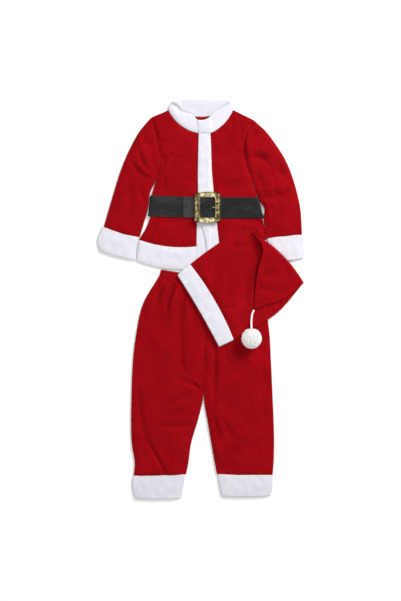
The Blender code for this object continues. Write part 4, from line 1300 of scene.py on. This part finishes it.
def make_hat():
    """The turned layer's free edge stands up, above a valley in the layer under it."""
    tube = Tube(HAT_BODY, STEP, FLEECE, base=HAT_UNDER)
    far_corner, sink = 258, 5.0  # from here on the hat's far corner sinks towards the floor
    edge_low, edge_high = -22, 190  # the free edge stands up between these places along +Y
    overlap, valley_depth, valley_width = 5, 3, 17

    def top(x, y, down, t):
        """The lower layer swells where it lies bare, `past` the turned layer's free edge."""
        x, y, turned = lay_out(x, y)
        past = read(HAT_EDGE, "y", "x", y) - overlap - x
        bare = smooth((past + 4) / 9) * smooth(down / 20)
        reach = 30 + 14 * smooth((y - 140) / 40)
        held = (2.0 + 1.5 * smooth((y - 30) / 60)) * beside(past, reach) ** 2
        held -= valley_depth * bell(past - reach * 0.7, valley_width)
        held *= smooth((y - edge_low) / 20) * smooth((edge_high - y) / 14) * smooth((past + 7) / 6)
        swell = 4.4 * bare * arch(t) ** 0.6 + held
        soft = fold_height("hat_base", x, y) + softness(x, y, seed=11, size=80, depth=0.9)
        soft += creases(x, y, seed=5, size=50, depth=0.8, lean=75)
        return np.where(turned, 0, soft * bare + swell + seam_dip(down))

    def under(x, y, down, t):
        x, y, turned = lay_out(x, y)
        soft = fold_height("hat_tip", x, y) + softness(x, y, seed=12, size=70, depth=0.9)
        soft += creases(x, y, seed=6, size=42, depth=0.9, lean=140)
        return np.where(turned, -soft, 0)

    def bend(grid):
        """Folds the laid-out hat over, and holds up its free edge."""
        right, left = (rail[:, None, 0] for rail in tube.ends)
        t = (grid[..., 0] - right) / (left - right)
        made, _ = fold_over(grid)
        made[..., 2] += tube.rise**1.4 * np.maximum(1 - t, 0) ** 3 - tube.settle
        made[..., 2] -= sink * smooth((made[..., 0] - far_corner) / 40)
        return turn_round(made)

    tube.add("cloth_hat", "hat_body", top, under, bend)


def make_cord():
    y = np.linspace(CORD_ROUTE[0]["y"], CORD_ROUTE[-1]["y"], 40)
    points = spots(read(CORD_ROUTE, "y", "x", y), y, read(CORD_ROUTE, "y", "z", y))
    add_wire("cord_hat", points, CORD_DIAMETER, 5, "hat_cord")


# ---- belt


def strap_rise(lap, x):
    """Height of the strap's middle in a lap, with its steps softened."""
    shifts = (-6, -3, 0, 3, 6)
    return sum(np.interp(x + shift, STRAP_RISE_X, lap) for shift in shifts) / len(shifts)


def strap_wrap(rows, side, angles, offsets):
    """Rows of the strap round a side edge of the jacket, from under it (pi) to over it (0)."""
    radius = (BELT_FRONT_MID - STRAP / 2) / 2
    sign = -1 if side == "right" else 1
    rows = [row for row in rows[::-1] if row["section"] in ("belt", "waist")]
    side_x, side_y = ([row[side + axis] for row in rows] for axis in ("_x", "_y"))
    edge = np.interp(BUCKLE_Y + offsets, side_y, side_x)
    for angle in angles:
        x = edge + sign * (radius * math.sin(angle) - 0.5)
        yield x, STRAP / 2 + radius + radius * math.cos(angle)


def make_belt():
    """One strip wound round the jacket: fixed end, front, under the back, front again, tail."""
    half, wrap_steps = BELT_WIDTH / 2, 14
    right_end, left_end = -136, 150  # where the strap goes round the sides of the jacket
    offsets = (steps_across(np.array([[BELT_WIDTH]]), np.linspace(0, 1, 19))[0] - half)[::-1]
    angles = math.pi * np.arange(wrap_steps + 1) / wrap_steps
    lower = np.arange(STRAP_FIXED_END - EDGE_REACH, right_end, -4)
    lower = np.concatenate([STRAP_FIXED_END - EDGE_STEPS, lower])
    upper = np.arange(left_end, STRAP_TAIL_END + 3.5, -3.5)
    upper = np.concatenate([upper, STRAP_TAIL_END + np.array([EDGE_REACH, *EDGE_STEPS[::-1]])])
    stops = [(x, strap_rise(STRAP_LOWER, x)) for x in lower]
    stops += strap_wrap(FRONT_RIGHT, "right", angles, offsets)
    stops += [(x, STRAP / 2) for x in np.arange(right_end + 8, left_end, 12)]
    stops += strap_wrap(FRONT_LEFT, "left", angles[::-1], offsets)
    stops += [(x, strap_rise(STRAP_UPPER, x)) for x in upper]
    x = np.array([np.broadcast_to(x, offsets.shape) for x, _ in stops])
    z = np.array([z for _, z in stops])[:, None] + STRAP_CROWN * (1 - (offsets / half) ** 2)
    grid = spots(x, read(STRAP_CENTRE, "x", "y", x) + offsets, z)
    steps = np.linalg.norm(np.diff(grid[:, len(offsets) // 2], axis=0), axis=1)
    run = np.concatenate([[0], np.cumsum(steps)])[:, None]
    border = least(run, run[-1] - run, half - np.abs(offsets))
    belt = add_sheet("belt_band", grid, STRAP / 2 * rounded(border, 1.0))
    cut_holes(belt)
    finish_piece(belt, "belt_strap", look="black")


def cut_holes(belt):
    cutters = []
    for x in HOLES:
        y, z = read(STRAP_CENTRE, "x", "y", x), strap_rise(STRAP_UPPER, x) + STRAP_CROWN
        bpy.ops.mesh.primitive_cylinder_add(
            vertices=32,
            radius=HOLE_DIAMETER / 2 * MM,
            depth=(STRAP + GAP) * MM,
            location=(x * MM, y * MM, z * MM),
        )
        cutters.append(bpy.context.active_object)
        cut = belt.modifiers.new("hole", "BOOLEAN")
        cut.operation, cut.object = "DIFFERENCE", cutters[-1]
    graph = bpy.context.evaluated_depsgraph_get()
    mesh = bpy.data.meshes.new_from_object(belt.evaluated_get(graph))
    belt.modifiers.clear()
    belt.data = mesh
    for cutter in cutters:
        bpy.data.objects.remove(cutter)


# ---- buckle


def corner_arc(centre, radius, start, steps):
    """A quarter circle about a centre, from an angle on."""
    angles = [start + math.pi / 2 * k / steps for k in range(steps + 1)]
    x, y = centre
    return [(x + radius * math.cos(angle), y + radius * math.sin(angle)) for angle in angles]


def buckle_outline():
    """A rounded rectangle whose top and bottom sides bow outwards."""
    corner, shoulder, steps = 7.0, 30.6, 24
    x, y = BUCKLE_HALF_WIDTH - corner, BUCKLE_HALF_HEIGHT - corner
    top = corner_arc((x, y), corner, 0, 6)
    for k in range(steps + 1):
        rise = BUCKLE_BULGE * math.sin(math.pi * k / steps) ** 0.8
        top.append((shoulder * (1 - 2 * k / steps), BUCKLE_HALF_HEIGHT + rise))
    top += corner_arc((-x, y), corner, math.pi / 2, 6)
    return top + [(-x, -y) for x, y in top]


def window_outline():
    corner = 2.0
    x, y = WINDOW_HALF_WIDTH - corner, WINDOW_HALF_HEIGHT - corner
    points = []
    for k, centre in enumerate(((x, y), (-x, y), (-x, -y), (x, -y))):
        points += corner_arc(centre, corner, math.pi / 2 * k, 5)
    return points


def on_outline(outline, rays):
    """Where rays from the middle at these angles leave a closed outline."""
    points = np.array(outline + outline[:1], float)
    angles = np.unwrap(np.arctan2(points[:, 1], points[:, 0]))
    turns = (rays - angles[0]) % (2 * math.pi) + angles[0]
    i = np.clip(np.searchsorted(angles, turns, side="right") - 1, 0, len(points) - 2)
    p, side = points[i], points[i + 1] - points[i]
    way = spots(np.cos(turns), np.sin(turns))
    scale = np.cross(p, side) / np.cross(way, side)
    return way * scale[:, None]


def make_buckle():
    """A cast frame: a beaded rim along both its edges and scrolls between them."""
    around, across, beads_round = 300, 30, 70
    rim_at, rim_width, relief_from = 1.8, 0.8, 2.4
    rays = np.linspace(0, 2 * math.pi, around, endpoint=False)
    outer, inner = on_outline(buckle_outline(), rays), on_outline(window_outline(), rays)
    share = np.linspace(0, 1, across + 1)
    flat = inner[:, None] + (outer - inner)[:, None] * share[None, :, None]
    into = np.minimum(share, 1 - share) * np.linalg.norm(outer - inner, axis=1)[:, None]
    x, y = flat[..., 0], flat[..., 1]
    body = np.maximum(BUCKLE_THICK * rounded(into, 1.6) - 0.8, 0.0)
    rim = 0.9 * bell(into - rim_at, rim_width)
    beads = 0.25 * np.sin(rays * beads_round)[:, None] * bell(into - rim_at, 0.9)
    scroll = np.sin(0.42 * x + 1.6 * np.sin(0.33 * y)) * np.sin(0.45 * y + 1.4 * np.sin(0.36 * x))
    inside = into - relief_from
    relief = 0.65 * scroll * smooth(inside / 1.6) - 0.4 * smooth(inside / 2)
    top = BUCKLE_UNDER + body + rim + beads + relief
    top[:, [0, -1]] = BUCKLE_UNDER + 1.0
    x, y = x + BUCKLE_X, y + BUCKLE_Y
    ring = np.concatenate([spots(x, y, top), spots(x, y, BUCKLE_UNDER)[:, ::-1]], axis=1)
    index = np.arange(ring.shape[0] * ring.shape[1]).reshape(ring.shape[:2])
    faces = quads_of(np.pad(index, ((0, 1), (0, 1)), mode="wrap"))[..., ::-1]
    finish_piece(add_mesh("metal_buckle", ring, faces.reshape(-1, 4).tolist()), "buckle_frame")
    foot = BUCKLE_UNDER + BUCKLE_THICK / 2
    low, high = BUCKLE_Y - BAR_REACH, BUCKLE_Y + BAR_REACH
    path = ((high, foot), (high, BELT_OVER_MID), (low, BELT_OVER_MID), (low, foot))
    path = [(BAR_X, y, z) for y, z in path]
    add_wire("metal_bar", path, BAR_DIAMETER, 4, "buckle_frame")


def make_prong():
    sides, blunt = 16, 0.4  # at both ends, this share of its thickness is left
    x = np.linspace(PRONG[0]["x"], PRONG[-1]["x"], 40)
    z = read(PRONG, "x", "z", x)
    slope = np.arctan(np.gradient(z, x))[:, None]
    taper = least(1, blunt + (x - x[0]) / 2, blunt + (x[-1] - x) / 3)[:, None]
    turn = np.linspace(0, 2 * math.pi, sides, endpoint=False)
    up = PRONG_THICK / 2 * taper * np.sin(turn)
    aside = BUCKLE_Y + PRONG_WIDTH / 2 * taper * np.cos(turn)
    points = spots(x[:, None] - up * np.sin(slope), aside, z[:, None] + up * np.cos(slope))
    finish_piece(add_mesh("metal_prong", points, rod_faces(len(x), sides)), "buckle_prong")


# ---- pompom


def make_pompom():
    """Curved yarn locks all round a small core, bare where the cord comes in."""
    tufts, each, sides = 250, 15, 4
    core_radius, root = 23, 15
    cord_cone, tuft_reach, tuft_dip = 0.95, 0.13, 4.5  # a lock at its tuft's side is shorter
    share, thick = np.array([0, 0.35, 0.7, 0.9, 1.0]), np.array([0.6, 0.8, 0.9, 0.8, 0.3])
    dice = np.random.default_rng(7)
    centre = np.array(POMPOM_CENTRE)
    cord_way = unit(np.array([CORD_ROUTE[-1][axis] for axis in "xyz"]) - centre)
    index = np.arange(tufts) + 0.5
    polar, turn = np.arccos(1 - 2 * index / tufts), math.pi * (1 + 5**0.5) * index
    hearts = spots(np.cos(turn) * np.sin(polar), np.sin(turn) * np.sin(polar), np.cos(polar))
    hearts += dice.normal(0, 0.035, hearts.shape)
    hearts = np.repeat(unit(hearts), each, axis=0)
    ways = unit(hearts + dice.normal(0, 0.06, hearts.shape))
    keep = ways @ cord_way < cord_cone
    ways, hearts = ways[keep], hearts[keep]
    apart = np.linalg.norm(ways - hearts, axis=1)
    side = unit(np.cross(ways, dice.normal(0, 1, ways.shape)))
    other = np.cross(ways, side)
    length = POMPOM_RADIUS - 0.5 - tuft_dip * np.minimum(apart / tuft_reach, 1) ** 2
    length += dice.normal(0, 0.8, len(ways))
    bend = dice.uniform(0, 3.0, len(ways))
    reach = root + (length[:, None] - root) * share
    spine = centre + ways[:, None] * reach[..., None]
    spine += side[:, None] * (bend[:, None] * share**2)[..., None]
    points = []
    for angle in 2 * math.pi * np.arange(sides) / sides:
        out = side * math.cos(angle) + other * math.sin(angle)
        points.append(spine + out[:, None] * thick[None, :, None])
    first = np.arange(len(ways))[:, None, None] * len(share) * sides
    faces = np.array(rod_faces(len(share), sides)) + first
    locks = add_mesh("yarn_locks", np.stack(points, axis=2), faces.reshape(-1, sides).tolist())
    finish_piece(locks, "pompom")
    bpy.ops.mesh.primitive_uv_sphere_add(
        segments=40, ring_count=24, radius=core_radius * MM, location=tuple(centre * MM)
    )
    core = bpy.context.active_object
    core.name = "yarn_core"
    bpy.ops.object.transform_apply(location=True)
    finish_piece(core, "pompom")


# ---- sheets and pile


def declare_sheets():
    for row in SHEETS:
        row.get("held", "laid")


def faces_of(piece):
    """The corners, the normals and the chances of a fibre of the faces that a pile grows on."""
    points = np.empty(len(piece.data.vertices) * 3)
    piece.data.vertices.foreach_get("co", points)
    quads = [face.vertices[:] for face in piece.data.polygons if len(face.vertices) == 4]
    corners = points.reshape(-1, 3)[np.array(quads)] / MM
    a, b, c, d = (corners[:, k] for k in range(4))
    normal = np.cross(c - a, d - b)
    area = np.linalg.norm(normal, axis=1)
    overhang, side_on, lowest = -0.35, 0.8, 1.0
    fit = (normal[:, 2] > overhang * area) & (area > 1e-6) & ((a[:, 2] + c[:, 2]) / 2 > lowest)
    corners, normal, area = corners[fit], normal[fit], area[fit]
    return corners, normal / area[:, None], area * (0.3 + 5 * (normal[:, 2] < side_on * area))


def make_pile(look, start, count, length, width=0.3):
    """Fine fibres that stand out of the pile of several pieces, one thin triangle for each."""
    pieces = [obj for obj in bpy.data.objects if obj.name.startswith(start)]
    dice = np.random.default_rng(11)
    parts = zip(*(faces_of(piece) for piece in pieces))
    corners, normals, chances = (np.concatenate(part) for part in parts)
    chosen = dice.choice(len(chances), count, p=chances / chances.sum())
    u, v = dice.random((2, count, 1))
    a, b, c, d = (corners[chosen, k] for k in range(4))
    root = (a * (1 - u) + b * u) * (1 - v) + (d * (1 - u) + c * u) * v
    upright = normals[chosen]
    lean = unit(upright * 0.6 + dice.normal(0, 0.6, (count, 3)))
    side = unit(np.cross(lean, upright)) * width / 2
    tip = root + lean * (length * dice.uniform(0.5, 1.0, (count, 1)))
    points = np.stack([root - side, root + side, tip], axis=1)
    points[..., 2] = np.maximum(points[..., 2], 0.1)
    pile = add_mesh("pile_" + look, points, np.arange(3 * count).reshape(-1, 3).tolist())
    nodes = sorted({node for piece in pieces for node in piece["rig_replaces"]})
    finish_piece(pile, *nodes, look=look)
    pile.data.normals_split_custom_set_from_vertices(np.repeat(upright, 3, axis=0).tolist())
    pile.visible_shadow = False


# ---- stage


def make_floor():
    mesh = bpy.data.meshes.new("floor")
    mesh.from_pydata([(-4, -4, 0), (4, -4, 0), (4, 4, 0), (-4, 4, 0)], [], [(0, 1, 2, 3)])
    floor = new_object("floor", mesh)
    floor.location.z = -0.0003
    made = bpy.data.materials.new("floor_white")
    made.use_nodes = True
    inputs = {
        "Base Color": (0.95, 0.95, 0.95, 1),
        "Emission Color": (1, 1, 1, 1),
        "Emission Strength": 0.12,
        "Roughness": 0.9,
        "Specular IOR Level": 0.0,
    }
    set_inputs(made.node_tree.nodes["Principled BSDF"], inputs)
    mesh.materials.append(made)


def add_lamp(name, place, size, power, colour=(1, 1, 1)):
    """A round lamp that shines on the middle of the set. Metres and watts."""
    data = bpy.data.lights.new(name, "AREA")
    data.shape, data.size, data.energy, data.color = "DISK", size, power, colour
    lamp = new_object(name, data)
    lamp.location = place
    lamp.rotation_euler = (-Vector(place)).to_track_quat("-Z", "Y").to_euler()


def make_world():
    world = bpy.data.worlds.new("studio")
    bpy.context.scene.world = world
    world.use_nodes = True
    set_inputs(world.node_tree.nodes["Background"], {"Color": (1, 1, 1, 1), "Strength": 0.3})


def make_camera():
    """A camera straight above, in metres, that takes in 1.743 m along the set."""
    height, seen, sensor = 3.2, 1.743, 36
    data = bpy.data.cameras.new("above")
    data.lens = sensor * height / seen
    data.clip_end = 20
    camera = new_object("above", data)
    camera.location = (-0.0007, -0.0036, height)
    bpy.context.scene.camera = camera
    bpy.context.scene.view_settings.view_transform = "Standard"


# ---- build

make_camera()
make_floor()
add_lamp("key", (2.2, 2.3, 2.3), size=1.9, power=158, colour=(1, 0.99, 0.98))
add_lamp("fill", (-1.1, -0.5, 3.0), size=2.0, power=34)
make_world()
make_cord()
make_back()
make_front("right", FRONT_RIGHT, seed=1, lean=20)
make_front("left", FRONT_LEFT, seed=2, lean=160)
make_placket("under", FRONT_RIGHT, "left")
make_placket("over", FRONT_LEFT, "right")
make_collar()
make_sleeve("right", SLEEVE_RIGHT, seed=3, lean=40)
make_cuff("cuff_right", SLEEVE_CUFF_RIGHT, "sleeve_cuff_right")
make_sleeve("left", SLEEVE_LEFT, seed=4, lean=150)
make_cuff("cuff_left", SLEEVE_CUFF_LEFT, "sleeve_cuff_left")
make_leg("right", LEG_RIGHT, seed=8, crease_depth=1.2, lean=65)
make_cuff("leg_cuff_right", LEG_CUFF_RIGHT, "leg_cuff_right", swell=1.8)
make_leg("left", LEG_LEFT, seed=9, crease_depth=0.8, lean=100)
make_cuff("leg_cuff_left", LEG_CUFF_LEFT, "leg_cuff_left", swell=1.8)
make_waistband()
make_hat()
make_cuff("hat", HAT_BAND, "hat_band", wall=HAT_BAND_WALL, base=HAT_UNDER, bend=turn_round)
make_belt()
make_buckle()
make_prong()
make_pompom()
declare_sheets()
make_pile("white", "band_", count=65000, length=2.4)
make_pile("red", "cloth_", count=60000, length=1.5)
